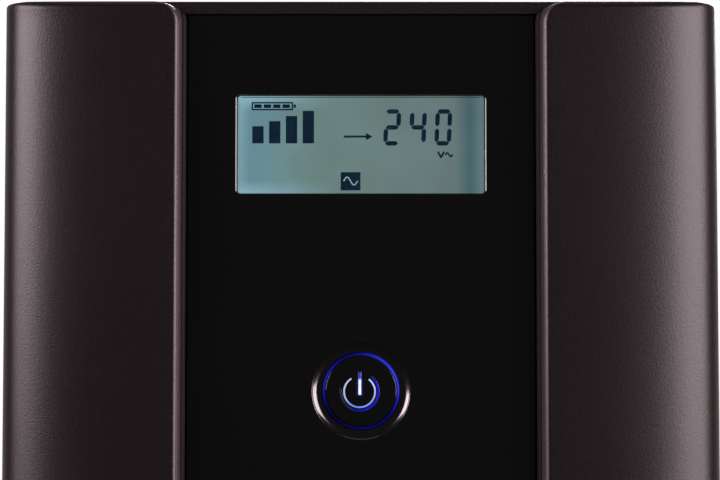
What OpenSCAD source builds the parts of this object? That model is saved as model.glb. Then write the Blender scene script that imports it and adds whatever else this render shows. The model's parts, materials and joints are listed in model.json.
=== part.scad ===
// Tower uninterruptible power supply: a black front moulding with a display and a lit power button,
// a painted steel case with vents, and the batteries, transformer and power board inside.
// Millimetres. +X is right as seen from the front, the front faces -Y and the feet stand on Z = 0.

/* [Overall] */
// Width over the front moulding
body_w = 145; // [143:1:160]
// Height with the feet
body_h = 220; // [216:1:245]
// Depth with the reset button at the rear
body_d = 397; // [385:1:430]
// Height of the rubber feet
foot_h = 8; // [7:0.5:12]

/* [Front moulding] */
// Depth of the moulding, front to back
bezel_depth = 34; // [30:1:42]
// Wall of the moulding
bezel_wall = 3; // [2:0.1:3.5]
// Lower edge of the moulding above the table
bezel_lift = 5; // [3:0.5:7]
// How far the wings stand proud of the panel
wing_rise = 4; // [2.5:0.1:6]
// How far a wing's inner wall leans outwards
wing_draft = 0.75; // [0.1:0.05:1.2]
// Depth of the curve from a wing's front to its side
wing_curve_d = 12; // [8:0.5:13]
// Fullness of that curve, where 2 is an ellipse
wing_fullness = 3; // [2.8:0.05:3.5]
// How far a wing's side leans outwards to the back
side_draft = 0.2; // [0.1:0.1:1]
// How far a wing's top stays below the strip's
wing_drop = 0.6; // [0.3:0.1:1]
// Rounding of the moulding's rims
edge_r = 0.95; // [0.5:0.05:1]
// Rounding between a wing's inner wall and its front
wing_edge_r = 1.15; // [1.05:0.05:1.8]
// Radius of a wing's inner corners, seen from the front
corner_r = 4.2; // [2.2:0.1:6]
// Matte strip above the panel
strip_h = 2.7; // [2:0.1:5]
// Matte sill below the panel
sill_h = 6; // [4:0.5:12]

/* [Glossy panel] */
// Width of the panel
panel_w = 70.2; // [68:0.2:75]
// Thickness of the panel
panel_t = 2.5; // [2.4:0.1:3.5]
// Gap round the panel
panel_gap = 0.15; // [0.1:0.05:0.3]
// Matte rim between the panel and a wing
rim_w = 0.7; // [0.4:0.05:1.2]
// Bevel on the panel's front edge
panel_bevel = 0.35; // [0.1:0.05:0.8]
// Width of the ledge that carries the panel
ledge_w = 3; // [2:0.1:4]
// Thickness of that ledge
ledge_t = 2; // [1.5:0.1:3]

/* [Display] */
// Width of the display opening
win_w = 50; // [44:0.5:52]
// Height of the display opening
win_h = 20; // [16:0.5:24]
// Middle of the display below the top
win_drop = 29; // [26:0.5:33]
// Width of the bevel round the opening
win_bevel = 1.5; // [1:0.1:2.4]
// Depth of that bevel
win_bevel_depth = 0.8; // [0.6:0.1:1.8]
// Thickness of the clear lens
lens_t = 1; // [0.8:0.1:1.5]
// How far the lens reaches past the opening
lens_margin = 2; // [1.5:0.1:3]
// Thickness of the display glass
lcd_t = 1.8; // [1.2:0.1:2.8]
// How far the glass reaches past the opening
lcd_margin = 3; // [2:0.1:3.6]
// Thickness of the backlight
backlight_t = 5.6; // [5.4:0.1:7]
// Wall of the display holder
holder_wall = 1.6; // [1:0.1:2]
// Thickness of every circuit board
pcb_t = 1.6; // [1:0.1:2]

/* [Power button] */
// Middle of the button below the top
button_drop = 78.8; // [70:0.2:90]
// Radius of the black cap
cap_r = 7.05; // [6:0.05:9]
// Thickness of the cap
cap_t = 2.2; // [1.6:0.1:2.4]
// Width of the lit ring round the cap
ring_w = 0.65; // [0.4:0.05:1]
// Running gap between the ring and its sleeve
button_gap = 0.15; // [0.1:0.05:0.3]
// Width of the dish round the button
dish_w = 1.9; // [1.2:0.1:2.3]
// Radius of the dish's hollow
dish_arc_r = 3.5; // [3:0.1:5]
// Slope of the dish at its rim
dish_slope = 49; // [35:1:55]
// Cap front below the panel
button_sink = 0.5; // [0.2:0.1:0.8]
// Travel of the button
button_travel = 1; // [0.4:0.1:1.1]
// Radius of the power symbol's ring
symbol_r = 3.2; // [2.6:0.1:4]
// Stroke of the power symbol
symbol_stroke = 0.7; // [0.4:0.05:1]

/* [Steel case] */
// Sheet thickness
sheet_t = 1.2; // [0.8:0.1:1.5]
// Step from the moulding's side and top to the cover
side_step = 1.8; // [1.6:0.1:2]
// Seam between the moulding and the cover
seam_gap = 0.3; // [0.1:0.05:0.6]
// Clearance between sheets that slide together
fit_gap = 0.3; // [0.1:0.05:0.4]
// Height of the chassis side flanges
flange_h = 15; // [12:0.5:20]
// Depth of the rear panel's flanges
rear_flange = 12; // [10:0.5:16]
// Width of a vent slot
vent_w = 3; // [2:0.1:4]
// Length of a vent slot
vent_l = 32; // [16:1:44]
// Pitch of the vent slots
vent_pitch = 7; // [5:0.5:8]
// Vent slots in a column
vent_count = 9; // [3:1:10]
// Radius of a foot at the case
foot_r = 11; // [9:0.5:14]

/* [Batteries] */
// Length of a battery
battery_l = 151; // [140:1:153]
// Room between a battery and the case's side
battery_side = 2.5; // [2:0.1:6]
// Gap between the batteries
battery_gap = 1; // [0.5:0.1:3]
// Diameter of a battery lead
lead_d = 4; // [3:0.1:5]

/* [Transformer] */
// Room between the core and the case's side
core_side = 11; // [9:0.5:18]
// Stack of laminations
core_stack = 60; // [50:1:62]
// How far the coil reaches past the stack
coil_reach = 18; // [14:0.5:19]

/* [Power board] */
// Height of the deck above the batteries
deck_h = 95.5; // [90:0.5:105]
// Room between the battery lids and the shelf
shelf_room = 18; // [15:0.5:22]
// Room between the main board and the case's side
board_side = 9; // [6:0.5:11]
// Length of the main board
board_l = 215; // [208:1:219]
// Height of the standoffs
standoff_h = 8; // [7:0.5:10]
// Length of a heat sink
sink_l = 105; // [90:1:108]
// Height of a heat sink
sink_h = 55; // [40:1:62]

/* [Rear] */
// Room round the fan
fan_room = 7.75; // [5:0.25:9]
// Depth of the fan
fan_depth = 25; // [24:1:30]
// Number of fan blades
blade_count = 7; // [5:1:9]
// Mains inlet above the chassis
inlet_rise = 20; // [18:0.5:22]
// Spacing of the socket rows
row_pitch = 30; // [29:0.5:31]
// Spacing of the sockets in a block
socket_pitch = 35; // [33:0.5:38]
// Breaker collar beyond the rear panel
collar_out = 5; // [4:0.1:6]
// Reset button beyond its collar
reset_out = 3; // [2.4:0.1:4]

/* [Hidden] */
$fn = 48;

// A cut passes a face by this much
cut = 1;
// Gap between pieces that lie in each other without moving
loose = 0.1;

// Front moulding and panel
front_y = -body_d / 2;
panel_y = front_y + wing_rise;
panel_back = panel_y + panel_t;
ledge_back = panel_back + ledge_t;
bezel_back = front_y + bezel_depth;
bezel_half = body_w / 2;
panel_half = panel_w / 2;
recess_half = panel_half + panel_gap + rim_w;
panel_top = body_h - strip_h;
panel_bottom = bezel_lift + sill_h;
panel_mid = (panel_top + panel_bottom) / 2;
panel_h = panel_top - panel_bottom;
wall_lean = atan2(wing_draft, wing_rise);
wall_run = sqrt(pow(wing_draft, 2) + pow(wing_rise, 2));
// Middle of the round edge between a wing's inner wall and its front
edge_x = recess_half + wing_draft * (1 - wing_edge_r / wing_rise * (1 - wing_draft / wall_run))
       + wing_edge_r * wing_rise / wall_run;
edge_steps = 5;
curve_steps = 14;
wing_root = 3;
hook_w = 12;
hook_t = 2.4;
hook_root = 8;
hook_start = 0.7 * bezel_wall;
hook_barb = 1.2;
hook_reach = 5;
hook_inset = 40;
hook_x = (recess_half + bezel_half) / 2;
hook_zs = [bezel_lift + hook_inset, body_h - hook_inset];
rib_t = 1.8;
rib_depth = 12;
rib_count = 5;

// Display stack, as depths behind the panel's front
win_z = body_h - win_drop;
win_corner_r = 0.8;
lens_back = panel_back + lens_t;
lcd_back = lens_back + lcd_t;
pcb_front = lcd_back + backlight_t;
pcb_back = pcb_front + pcb_t;
lcd_w = win_w + 2 * lcd_margin;
lcd_h = win_h + 2 * lcd_margin;
holder_w = lcd_w + 2 * (loose + holder_wall);
holder_h = lcd_h + 2 * (loose + holder_wall);

// Power button
button_z = body_h - button_drop;
ring_in = cap_r + loose / 2;
ring_out = ring_in + ring_w;
sleeve_r = ring_out + button_gap;
dish_r = sleeve_r + dish_w;
dish_mid_r = dish_r - dish_arc_r * sin(dish_slope);
dish_mid_y = panel_y - dish_arc_r * cos(dish_slope);
sleeve_wall = 1.2;
sleeve_end = panel_back + 2;
cap_front = panel_y + button_sink;
cap_back = cap_front + cap_t;
cap_edge_r = 0.6;
guide_flange_r = sleeve_r + 1.1;
guide_flange_t = 1;
stem_r = 2.2;
stem_end = sleeve_end + guide_flange_t + 0.5;
symbol_gap = 35;
symbol_sink = 0.4;
bar_top = symbol_r + 1.2;
bar_bottom = -0.9;
ring_sink = 0.35;
switch_w = 6;
switch_top = stem_end + button_travel + 0.4;
plunger_r = 1.75;
plunger_in = 1.2;

// Display board
display_board_w = panel_w - 2 * ledge_w - 3;
display_board_top = win_z + holder_h / 2 + 2;
display_board_bottom = button_z - 15;
post_r = 3;
post_x = display_board_w / 2 - 4;
post_zs = [win_z - holder_h / 2 - 5, button_z - 10];
small_screw_r = 1;
small_head_r = 2.6;
small_head_t = 1.8;
small_screw_in = 6;
led_r = 1.5;
led_h = 3.2;
led_ring_r = 6.4;

// Steel case
case_half = bezel_half - side_step;
case_top = body_h - side_step;
fold_in_r = 3 * fit_gap;
fold_r = fold_in_r + sheet_t;
cover_front = bezel_back + seam_gap;
chassis_half = case_half - sheet_t - fit_gap;
chassis_in = chassis_half - sheet_t;
wall_top = case_top - sheet_t - fit_gap;
floor_top = foot_h + sheet_t;
wall_back = bezel_back + sheet_t;
rear_y = body_d / 2 - collar_out - reset_out;
rear_in = rear_y - sheet_t;
return_l = 10;
tab_w = 12;
tab_x = chassis_in - tab_w / 2 - 2;
screw_r = 1.4;
screw_head_r = 3;
screw_head_t = 1.4;
screw_gap = 0.15;
rear_screw_z = foot_h + flange_h / 2;
side_screw_rise = 52;
side_screw_drop = 30;
side_screw_zs = [foot_h + side_screw_rise, body_h - side_screw_drop];
side_screw_y = rear_in - rear_flange / 2;
vent_front_start = 32;
vent_front_y = bezel_back + vent_front_start;
vent_rear_start = 96;
vent_rear_y = rear_y - vent_rear_start;
vent_rise = 34;
vent_front_z = foot_h + vent_rise;
vent_drop = 40;
vent_rear_z = body_h - vent_drop - (vent_count - 1) * vent_pitch;

// Feet
foot_x = chassis_half - foot_r - 8;
foot_ys = [bezel_back + 30, rear_in - 30];
foot_draft = 1.5;
foot_bore_r = 5;
foot_bore_h = 4;
foot_screw_r = 2;
foot_head_r = 4;
foot_head_t = 2.4;

// Batteries
battery_front = wall_back + hook_reach + fit_gap;
battery_end = battery_front + battery_l;
battery_w = chassis_in - battery_side - battery_gap / 2;
battery_h = wall_top - floor_top - deck_h - shelf_room;
battery_x = (battery_gap + battery_w) / 2;
battery_top = floor_top + battery_h;
battery_edge_r = 3;
lid_step = 0.8;
lid_h = 12;
tab_inset = 11;
tab_off = battery_w / 2 - 8.5;
tab_size = [6.35, 0.8, 8];
crimp_size = [9, 3.6, 14];
lead_r = lead_d / 2;
lead_sides = 8;
lead_steps = 18;
lead_rise = 48;
lead_in = 12;
link_rise = 16;

// Battery bracket, behind the batteries and over their lids
bracket_y = battery_end + fit_gap;
bracket_half = battery_x + battery_w / 2 - 3;
bracket_lip = 14;
bracket_foot = 14;
foot_screw_in = 7;
chassis_screw_side = 12;
chassis_screw_x = chassis_in - core_side - chassis_screw_side;

// Transformer
core_w = 2 * (chassis_in - core_side);
core_h = battery_h + 1;
leg = core_w / 6;
core_end_gap = 8;
foot_leg = 20;
core_front = bracket_y + sheet_t + bracket_foot + core_end_gap + foot_leg;
core_back = core_front + core_stack;
core_mid_y = (core_front + core_back) / 2;
core_mid_z = floor_top + core_h / 2;
strap_t = 1.5;
strap_h = leg - 2;
bolt_r = 2.4;
bolt_head_r = 4.6;
bolt_head_t = 3;
bolt_x = core_w / 2 - leg / 2;

// Shelf and main board
shelf_z = battery_top + shelf_room;
shelf_top = shelf_z + sheet_t;
shelf_start = 34;
shelf_front = battery_front + shelf_start;
shelf_back = core_back + 8;
leg_out = chassis_in - fit_gap;
leg_w = 20;
leg_ys = [shelf_front + 16, shelf_back - 16];
leg_screw_z = foot_h + flange_h / 2;
board_w = 2 * (chassis_in - board_side);
board_z = shelf_top + standoff_h;
board_top = board_z + pcb_t;
board_front = shelf_front + 4;
board_back = board_front + board_l;
stand_side = 5;
stand_x = board_w / 2 - stand_side;
stand_inset = 6;
stand_mid = 79;
stand_ys = [board_front + stand_inset, board_front + stand_mid, board_back - stand_inset];
stand_af_r = 3;
board_screw_r = 1.4;
board_screw_in = 5;
sink_start = 96;
sink_front = board_front + sink_start;
sink_x = 14;
sink_plate = 4;
fin_room = 6.5;
fin_t = 1.6;
fin_count = 8;
transistor = [4.8, 10, 16];
transistor_lift = 8;
transistor_count = 4;
cap_can_r = 9;
cap_can_h = 36;
cap_can_start = 38;
cap_can_y = board_front + cap_can_start;
cap_can_xs = [-33, -11, 11, 33];
relay = [13, 29, 25];
relay_side = 10;
relay_x = board_w / 2 - relay_side;
fin_l = relay_x - relay[0] / 2 - sink_x - sink_plate / 2 - fin_room;
relay_pitch = 34;
relay_start = 105;
relay_front = board_front + relay_start;
choke_r = 12;
choke_wire = 5;
choke_start = 74;
choke_y = board_front + choke_start;

// Ribbon from the display board to the main board
ribbon_w = 20;
ribbon_t = 1;
ribbon_bend = 6;
ribbon_z = button_z + 24;
header = [26, 9, 8];
ribbon_y = board_front + 8;

// Sockets
inlet_z = foot_h + inlet_rise;
inlet_x = chassis_half / 2;
inlet_flange = [31, 24];
inlet_body = [27.4, 19.8];
inlet_cavity = [24.4, 16.6];
inlet_deep = 17;
inlet_back_t = 4;
socket_flange_t = 2;
key_cut = 5;
pin_off = 7;
pin_lift = 2;
pin_size = [2, 4];
pin_short = 3;
pin_tail = 8;
block_rows = [inlet_z + row_pitch, inlet_z + 2 * row_pitch];
block_flange_h = 27;
block_end = 17;
block_rim = 1.7;
block_flange = [2 * (socket_pitch + block_end), block_flange_h];
block_body = block_flange - 2 * block_rim * [1, 1];
block_flange_t = 2.5;
socket_outer = [28.2, 20.6];
socket_core = [23.8, 15.8];
socket_deep = 17;
socket_slot = [2.4, 4.6];
block_deep = 19;
sockets = 3;

// Breaker
breaker_x = -chassis_half / 2;
breaker = [16, 30, 30];
collar_r = 5.5;
collar_bore = 3.3;
reset_r = 3.2;
reset_in = 10;
nut_af_r = 8;
nut_t = 3;

// Communication ports
comm_z = block_rows[1] + 16;
comm_top = comm_z + pcb_t;
comm_side = 10;
comm_half = chassis_in - comm_side;
comm_deep = 40;
port_proud = 0.5;
usb_side = 12;
usb_x = usb_side - comm_half;
usb_shell = [12, 11];
usb_mouth = [8.5, 7.8];
usb_tongue = [5.7, 3.2];
usb_len = 16;
usb_deep = 9;
serial_x = -12;
serial_flange = [31, 12.5];
serial_shell = [17.4, 8.8];
serial_out = 6;
serial_lip = 0.8;
serial_post_x = 12.5;
serial_post_r = 2.8;
serial_post_out = 5;
serial_body = [20, 11];
line_side = 22;
line_x = comm_half - line_side;
line_body = [32, 14.4];
line_mouth = [11.8, 8.2];
line_latch = [6.2, 2.6];
line_pitch = 14.8;
line_len = 18;
line_deep = 13;

// Fan
rear_side = 6;
slot_w = 36;
fan_size = min(wall_top - sheet_t - comm_top - line_body[1] - 2 * fan_room,
               2 * chassis_in - 2 * rear_side - slot_w - fan_room);
fan_z = wall_top - sheet_t - fan_room - fan_size / 2;
fan_x = fan_size / 2 + rear_side - chassis_in;
fan_front = rear_in - fan_depth;
fan_bore_r = fan_size / 2 - 1.7;
fan_corner_r = 4;
fan_hole = fan_size / 2 - 4.25;
fan_screw_r = 1.9;
fan_head_r = 3.4;
fan_head_t = 2;
fan_screw_in = 12;
hub_r = 16.5;
hub_wall = 2;
hub_gap = 0.8;
shaft_r = 1.5;
shaft_gap = 0.05;
spider_t = 3;
strut_w = 5;
stator_r = 12.5;
rotor_front = fan_front + 1.7;
rotor_back = rear_in - spider_t - hub_gap;
blade_tip = fan_bore_r - 1.3;
blade_t = 1.8;
blade_twist = 38;
grille_inner = 17;
grille_slot = 4.6;
grille_web = 2.4;
grille_spoke = 4;

// Option slot
slot_x = chassis_in - rear_side - slot_w / 2;
slot_z = fan_z;
slot_plate = [slot_w, fan_size + 4];
slot_mouth = [slot_w - 12, fan_size - 22];
slot_screw_z = fan_size / 2 - 4;
thumb_r = 4;
thumb_t = 5;

// Shapes that several pieces share

function span(lo, hi, n) = [for (i = [0 : n]) lo + (hi - lo) * i / n];

// A rectangle with round corners, centred
module round_rect(size, r) {
    square([size[0] - 2 * r, size[1]], center = true);
    square([size[0], size[1] - 2 * r], center = true);
    for (sx = [-1, 1], sy = [-1, 1])
        translate([sx * (size[0] / 2 - r), sy * (size[1] / 2 - r)]) circle(r);
}

// A rectangle with its two upper corners cut off, the key of a mains connector
module keyed_rect(size, key) {
    w = size[0] / 2;
    h = size[1] / 2;
    polygon([[-w, -h], [w, -h], [w, h - key], [w - key, h], [-w + key, h], [-w, h - key]]);
}

// A drawing in X and Z carried along Y
module along_y(y0, y1) {
    translate([0, y1, 0]) rotate([90, 0, 0]) linear_extrude(y1 - y0) children();
}

// A drawing in Y and Z carried along X
module along_x(x0, x1) {
    translate([x0, 0, 0]) rotate([90, 0, 90]) linear_extrude(x1 - x0) children();
}

// A round bar along Y
module bar_y(r, y0, y1) {
    translate([0, y0, 0]) rotate([-90, 0, 0]) cylinder(r = r, h = y1 - y0);
}

// A turned shape about a line along Y, drawn as radius and Y
module turned_y() {
    rotate([-90, 0, 0]) rotate_extrude() children();
}

module box(lo, hi) {
    translate(lo) cube(hi - lo);
}

module both_sides() {
    children();
    mirror([1, 0, 0]) children();
}

// A closed skin over rings of points, each ring counter-clockwise seen from the next
module skin(rings) {
    n = len(rings[0]);
    last = len(rings) - 1;
    polyhedron(
        points = [for (ring = rings) each ring],
        faces = concat(
            [[for (i = [0 : n - 1]) i]],
            [[for (i = [n - 1 : -1 : 0]) last * n + i]],
            [for (k = [0 : last - 1], i = [0 : n - 1])
                each [[k * n + i, (k + 1) * n + i, (k + 1) * n + (i + 1) % n],
                      [k * n + i, (k + 1) * n + (i + 1) % n, k * n + (i + 1) % n]]]));
}

// A point and a direction on a smooth curve with four handles
function curve(p, t) = pow(1 - t, 3) * p[0] + 3 * t * pow(1 - t, 2) * p[1]
                     + 3 * t * t * (1 - t) * p[2] + pow(t, 3) * p[3];
function heading(p, t) = let (v = pow(1 - t, 2) * (p[1] - p[0]) + 2 * t * (1 - t) * (p[2] - p[1])
                                + t * t * (p[3] - p[2])) v / norm(v);

// A round lead along such a curve, where side is never in line with it
module lead(p, side) {
    skin([for (t = span(0, 1, lead_steps))
        let (d = heading(p, t), u = cross(d, side) / norm(cross(d, side)), v = cross(d, u))
        [for (i = [0 : lead_sides - 1])
            let (a = 360 * i / lead_sides) curve(p, t) + lead_r * (cos(a) * u + sin(a) * v)]]);
}

// Front moulding

// How far the round edge draws in at a height h below the rim
function edge_in(h) = h < edge_r ? edge_r - sqrt(pow(edge_r, 2) - pow(edge_r - h, 2)) : 0;

// How far a wing's inner wall moves out at a height h below the rim
function corner_in(h) = h < corner_r ? corner_r - sqrt(pow(corner_r, 2) - pow(corner_r - h, 2)) : 0;

// A wing's front and side seen from above, from x0 outwards and drawn in by e
function wing_curve(x0, e) = [for (i = [1 : curve_steps])
    let (a = 90 * i / curve_steps)
    [x0 + (bezel_half - side_draft - e - x0) * pow(sin(a), 2 / wing_fullness),
     front_y + wing_curve_d - (wing_curve_d - e) * pow(cos(a), 2 / wing_fullness)]];

// A wing's section seen from above: back, inner wall, round edge, curved front and side
function wing_section(e, c) = concat(
    [[recess_half + c + e - wing_root, bezel_back], [recess_half + c + e, panel_y + e]],
    [for (a = span(180 + wall_lean, 270, edge_steps))
        [edge_x + c, front_y + wing_edge_r] + (wing_edge_r - e) * [cos(a), sin(a)]],
    wing_curve(edge_x + c, e),
    [[bezel_half - e, bezel_back]]);

function mirrored(half) = concat(half, [for (i = [len(half) - 1 : -1 : 0]) [-half[i][0], half[i][1]]]);

rim_heights = concat([for (a = span(0, 90, edge_steps)) edge_r * (1 - cos(a))],
                     [for (i = [1 : 4]) edge_r + (corner_r - edge_r) * i / 4]);

function section_at(z, h) = [for (p = wing_section(edge_in(h), corner_in(h))) [p[0], p[1], z]];

module wing_skin() {
    last = len(rim_heights) - 1;
    top = body_h - wing_drop;
    skin(concat([for (h = rim_heights) section_at(bezel_lift + h, h)],
                [for (i = [last : -1 : 0]) section_at(top - rim_heights[i], rim_heights[i])]));
}

// The body of the moulding between the wings, with round front rims
module middle_body() {
    reach = recess_half + corner_r + edge_r + cut;
    low = bezel_lift + wing_drop;
    along_x(-reach, reach)
        polygon(concat(
            [for (a = span(270, 180, edge_steps)) [panel_y, low] + edge_r * [1 + cos(a), 1 + sin(a)]],
            [for (a = span(180, 90, edge_steps)) [panel_y, body_h] + edge_r * [1 + cos(a), sin(a) - 1]],
            [[bezel_back, body_h], [bezel_back, low]]));
}

// The room inside the moulding, open to the back
function cavity_half() = concat(
    [[recess_half + bezel_wall, ledge_back],
     [recess_half + bezel_wall + wing_draft, front_y + bezel_wall]],
    wing_curve(edge_x, bezel_wall),
    [[bezel_half - bezel_wall, bezel_back + cut]]);

module bezel_cavity() {
    rib_zs = span(bezel_lift + 24, body_h - 24, rib_count - 1);
    difference() {
        translate([0, 0, bezel_lift + bezel_wall])
            linear_extrude(body_h - bezel_lift - 2 * bezel_wall) polygon(mirrored(cavity_half()));
        for (z = rib_zs)
            both_sides()
                box([recess_half + bezel_wall - cut, front_y, z - rib_t / 2],
                    [bezel_half, front_y + rib_depth, z + rib_t / 2]);
    }
}

// A square post from a wing to the chassis wall, with a snap hook through the wall
module bezel_hook() {
    box([-hook_w / 2, front_y + hook_start, -hook_root / 2],
        [hook_w / 2, bezel_back, hook_root / 2]);
    along_x(-hook_w / 2, hook_w / 2)
        polygon([[bezel_back - cut, -hook_t / 2], [wall_back + hook_reach, -hook_t / 2],
                 [wall_back + hook_reach, hook_t / 2], [wall_back + loose, hook_t / 2 + hook_barb],
                 [wall_back + loose, hook_t / 2], [bezel_back - cut, hook_t / 2]]);
}

module front_bezel() {
    pocket = [panel_w, panel_h] + 2 * panel_gap * [1, 1];
    opening = [panel_w, panel_h] - 2 * ledge_w * [1, 1];
    color([0.15, 0.13, 0.135]) {
        difference() {
            union() {
                middle_body();
                both_sides() wing_skin();
            }
            bezel_cavity();
            translate([0, 0, panel_mid]) {
                along_y(panel_y - cut / 2, panel_back) square(pocket, center = true);
                along_y(panel_back - cut, ledge_back + cut) square(opening, center = true);
            }
            // The ledge gives way to the display holder where the panel is narrow
            translate([0, 0, win_z])
                along_y(panel_back - cut, ledge_back + cut)
                    square([holder_w, holder_h] + 2 * loose * [1, 1], center = true);
        }
        for (sx = [-1, 1], z = hook_zs)
            translate([sx * hook_x, 0, z]) bezel_hook();
    }
}

// A plate whose four front edges are bevelled, or a bevelled hole's cutter
module bevelled_plate(size, y0, y1, bevel, depth) {
    w = size[0] / 2;
    h = size[1] / 2;
    intersection() {
        translate([0, 0, -h])
            linear_extrude(2 * h)
                polygon([[-w + bevel, y0], [w - bevel, y0], [w, y0 + depth], [w, y1], [-w, y1],
                         [-w, y0 + depth]]);
        along_x(-w, w)
            polygon([[y0, -h + bevel], [y0, h - bevel], [y0 + depth, h], [y1, h], [y1, -h],
                     [y0 + depth, -h]]);
    }
}

// The sloped sides of the display opening, widest at the panel's front
module window_bevel() {
    slope = win_bevel / win_bevel_depth;
    over = cut * slope;
    w = win_w / 2;
    h = win_h / 2;
    intersection() {
        translate([0, 0, -h - win_bevel - over])
            linear_extrude(2 * (h + win_bevel + over))
                polygon([[-w - win_bevel - over, panel_y - cut], [w + win_bevel + over, panel_y - cut],
                         [w, panel_y + win_bevel_depth], [-w, panel_y + win_bevel_depth]]);
        along_x(-w - win_bevel - over, w + win_bevel + over)
            polygon([[panel_y - cut, -h - win_bevel - over], [panel_y - cut, h + win_bevel + over],
                     [panel_y + win_bevel_depth, h], [panel_y + win_bevel_depth, -h]]);
    }
}

module front_panel() {
    color([0.03, 0.03, 0.03])
    difference() {
        union() {
            translate([0, 0, panel_mid])
                bevelled_plate([panel_w, panel_h], panel_y, panel_back, panel_bevel, panel_bevel);
            translate([0, 0, button_z])
                bar_y(dish_r + sleeve_wall, panel_back - cut, sleeve_end);
            for (sx = [-1, 1], z = post_zs)
                translate([sx * post_x, 0, z]) bar_y(post_r, panel_back - cut, pcb_front);
        }
        translate([0, 0, win_z]) {
            window_bevel();
            along_y(panel_y, panel_back + cut) round_rect([win_w, win_h], win_corner_r);
        }
        translate([0, 0, button_z]) {
            bar_y(sleeve_r, panel_y - cut, sleeve_end + cut);
            turned_y() translate([dish_mid_r, dish_mid_y]) circle(dish_arc_r);
        }
        for (sx = [-1, 1], z = post_zs)
            translate([sx * post_x, 0, z])
                bar_y(small_screw_r + loose, pcb_front - small_screw_in - cut, pcb_front + cut);
    }
}

// Display

module lcd_lens() {
    color([0.75, 0.8, 0.8, 0.4])
    translate([0, 0, win_z])
        along_y(panel_back, lens_back)
            round_rect([win_w, win_h] + 2 * lens_margin * [1, 1], win_corner_r);
}

module lcd_glass() {
    color([0.5, 0.58, 0.56])
    translate([0, 0, win_z])
        along_y(lens_back, lcd_back) square([lcd_w, lcd_h], center = true);
}

module lcd_backlight() {
    color([0.85, 0.9, 0.88])
    translate([0, 0, win_z])
        along_y(lcd_back, pcb_front) square([lcd_w, lcd_h], center = true);
}

module lcd_holder() {
    color([0.12, 0.12, 0.12])
    translate([0, 0, win_z])
        along_y(lens_back, pcb_front)
            difference() {
                round_rect([holder_w, holder_h], holder_wall);
                square([lcd_w, lcd_h] + 2 * loose * [1, 1], center = true);
            }
}

module display_board() {
    color([0.1, 0.35, 0.2])
    difference() {
        box([-display_board_w / 2, pcb_front, display_board_bottom],
            [display_board_w / 2, pcb_back, display_board_top]);
        for (sx = [-1, 1], z = post_zs)
            translate([sx * post_x, 0, z]) bar_y(small_screw_r + loose, pcb_front - cut, pcb_back + cut);
    }
}

// The power symbol: a ring that is open at the top and a bar through the opening
module power_symbol(stroke) {
    difference() {
        circle(symbol_r + stroke / 2);
        circle(symbol_r - stroke / 2);
        polygon([[0, 0], 2 * symbol_r * [-sin(symbol_gap), cos(symbol_gap)],
                 2 * symbol_r * [sin(symbol_gap), cos(symbol_gap)]]);
    }
    translate([-stroke / 2, bar_bottom]) square([stroke, bar_top - bar_bottom]);
}

module power_button() {
    color([0.04, 0.04, 0.045])
    translate([0, 0, button_z])
    difference() {
        turned_y() {
            translate([0, cap_front]) square([cap_r - cap_edge_r, cap_t]);
            translate([0, cap_front + cap_edge_r]) square([cap_r, cap_t - cap_edge_r]);
            translate([cap_r - cap_edge_r, cap_front + cap_edge_r]) circle(cap_edge_r);
        }
        translate([0, 0, -symbol_sink])
            along_y(cap_front - cut, cap_back + cut) power_symbol(symbol_stroke);
    }
}

module button_light_guide() {
    color([0.3, 0.4, 1, 0.7])
    translate([0, 0, button_z]) {
        turned_y() {
            translate([ring_in, cap_front + ring_sink])
                square([ring_w, sleeve_end - cap_front - ring_sink]);
            translate([0, cap_back]) square([ring_out, sleeve_end - cap_back]);
            translate([0, sleeve_end]) square([guide_flange_r, guide_flange_t]);
            translate([0, sleeve_end]) square([stem_r, stem_end - sleeve_end]);
        }
        translate([0, 0, -symbol_sink])
            along_y(cap_front + loose, cap_back + loose) power_symbol(symbol_stroke - loose);
    }
}

module switch_body() {
    color([0.1, 0.1, 0.1])
    translate([0, 0, button_z])
    difference() {
        along_y(switch_top, pcb_front) square(switch_w, center = true);
        bar_y(plunger_r + loose, switch_top - cut, switch_top + plunger_in + button_travel + loose);
    }
}

module switch_plunger() {
    color([0.8, 0.8, 0.75])
    translate([0, 0, button_z]) bar_y(plunger_r, stem_end, switch_top + plunger_in);
}

module button_leds() {
    color([0.3, 0.45, 1])
    for (a = [30 : 120 : 270])
        translate([led_ring_r * cos(a), pcb_front - led_h, button_z + led_ring_r * sin(a)]) {
            bar_y(led_r, led_r, led_h);
            translate([0, led_r, 0]) sphere(led_r);
        }
}

module display_ribbon() {
    front = pcb_back + header[1];
    bend_y = ribbon_y - ribbon_bend;
    color([0.6, 0.6, 0.62])
    along_x(-ribbon_w / 2, ribbon_w / 2) {
        translate([front, ribbon_z - ribbon_t / 2]) square([bend_y - front, ribbon_t]);
        translate([bend_y, ribbon_z - ribbon_bend])
            intersection() {
                difference() {
                    circle(ribbon_bend + ribbon_t / 2);
                    circle(ribbon_bend - ribbon_t / 2);
                }
                square(2 * ribbon_bend);
            }
        translate([ribbon_y - ribbon_t / 2, board_top + header[2]])
            square([ribbon_t, ribbon_z - ribbon_bend - board_top - header[2]]);
    }
}

module ribbon_headers() {
    color([0.12, 0.12, 0.13]) {
        box([-header[0] / 2, pcb_back, ribbon_z - header[2] / 2],
            [header[0] / 2, pcb_back + header[1], ribbon_z + header[2] / 2]);
        box([-header[0] / 2, ribbon_y - header[1] / 2, board_top],
            [header[0] / 2, ribbon_y + header[1] / 2, board_top + header[2]]);
    }
}

// Steel case

module foot_places() {
    for (sx = [-1, 1], y = foot_ys) translate([sx * foot_x, y, 0]) children();
}

// Holes through the floor for the screws of the bracket and the transformer feet
module chassis_screw_places() {
    for (sx = [-1, 1],
         y = [bracket_y + sheet_t + bracket_foot - foot_screw_in,
              core_front - foot_leg + foot_screw_in, core_back + foot_leg - foot_screw_in])
        translate([sx * chassis_screw_x, y, 0]) children();
}

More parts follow.
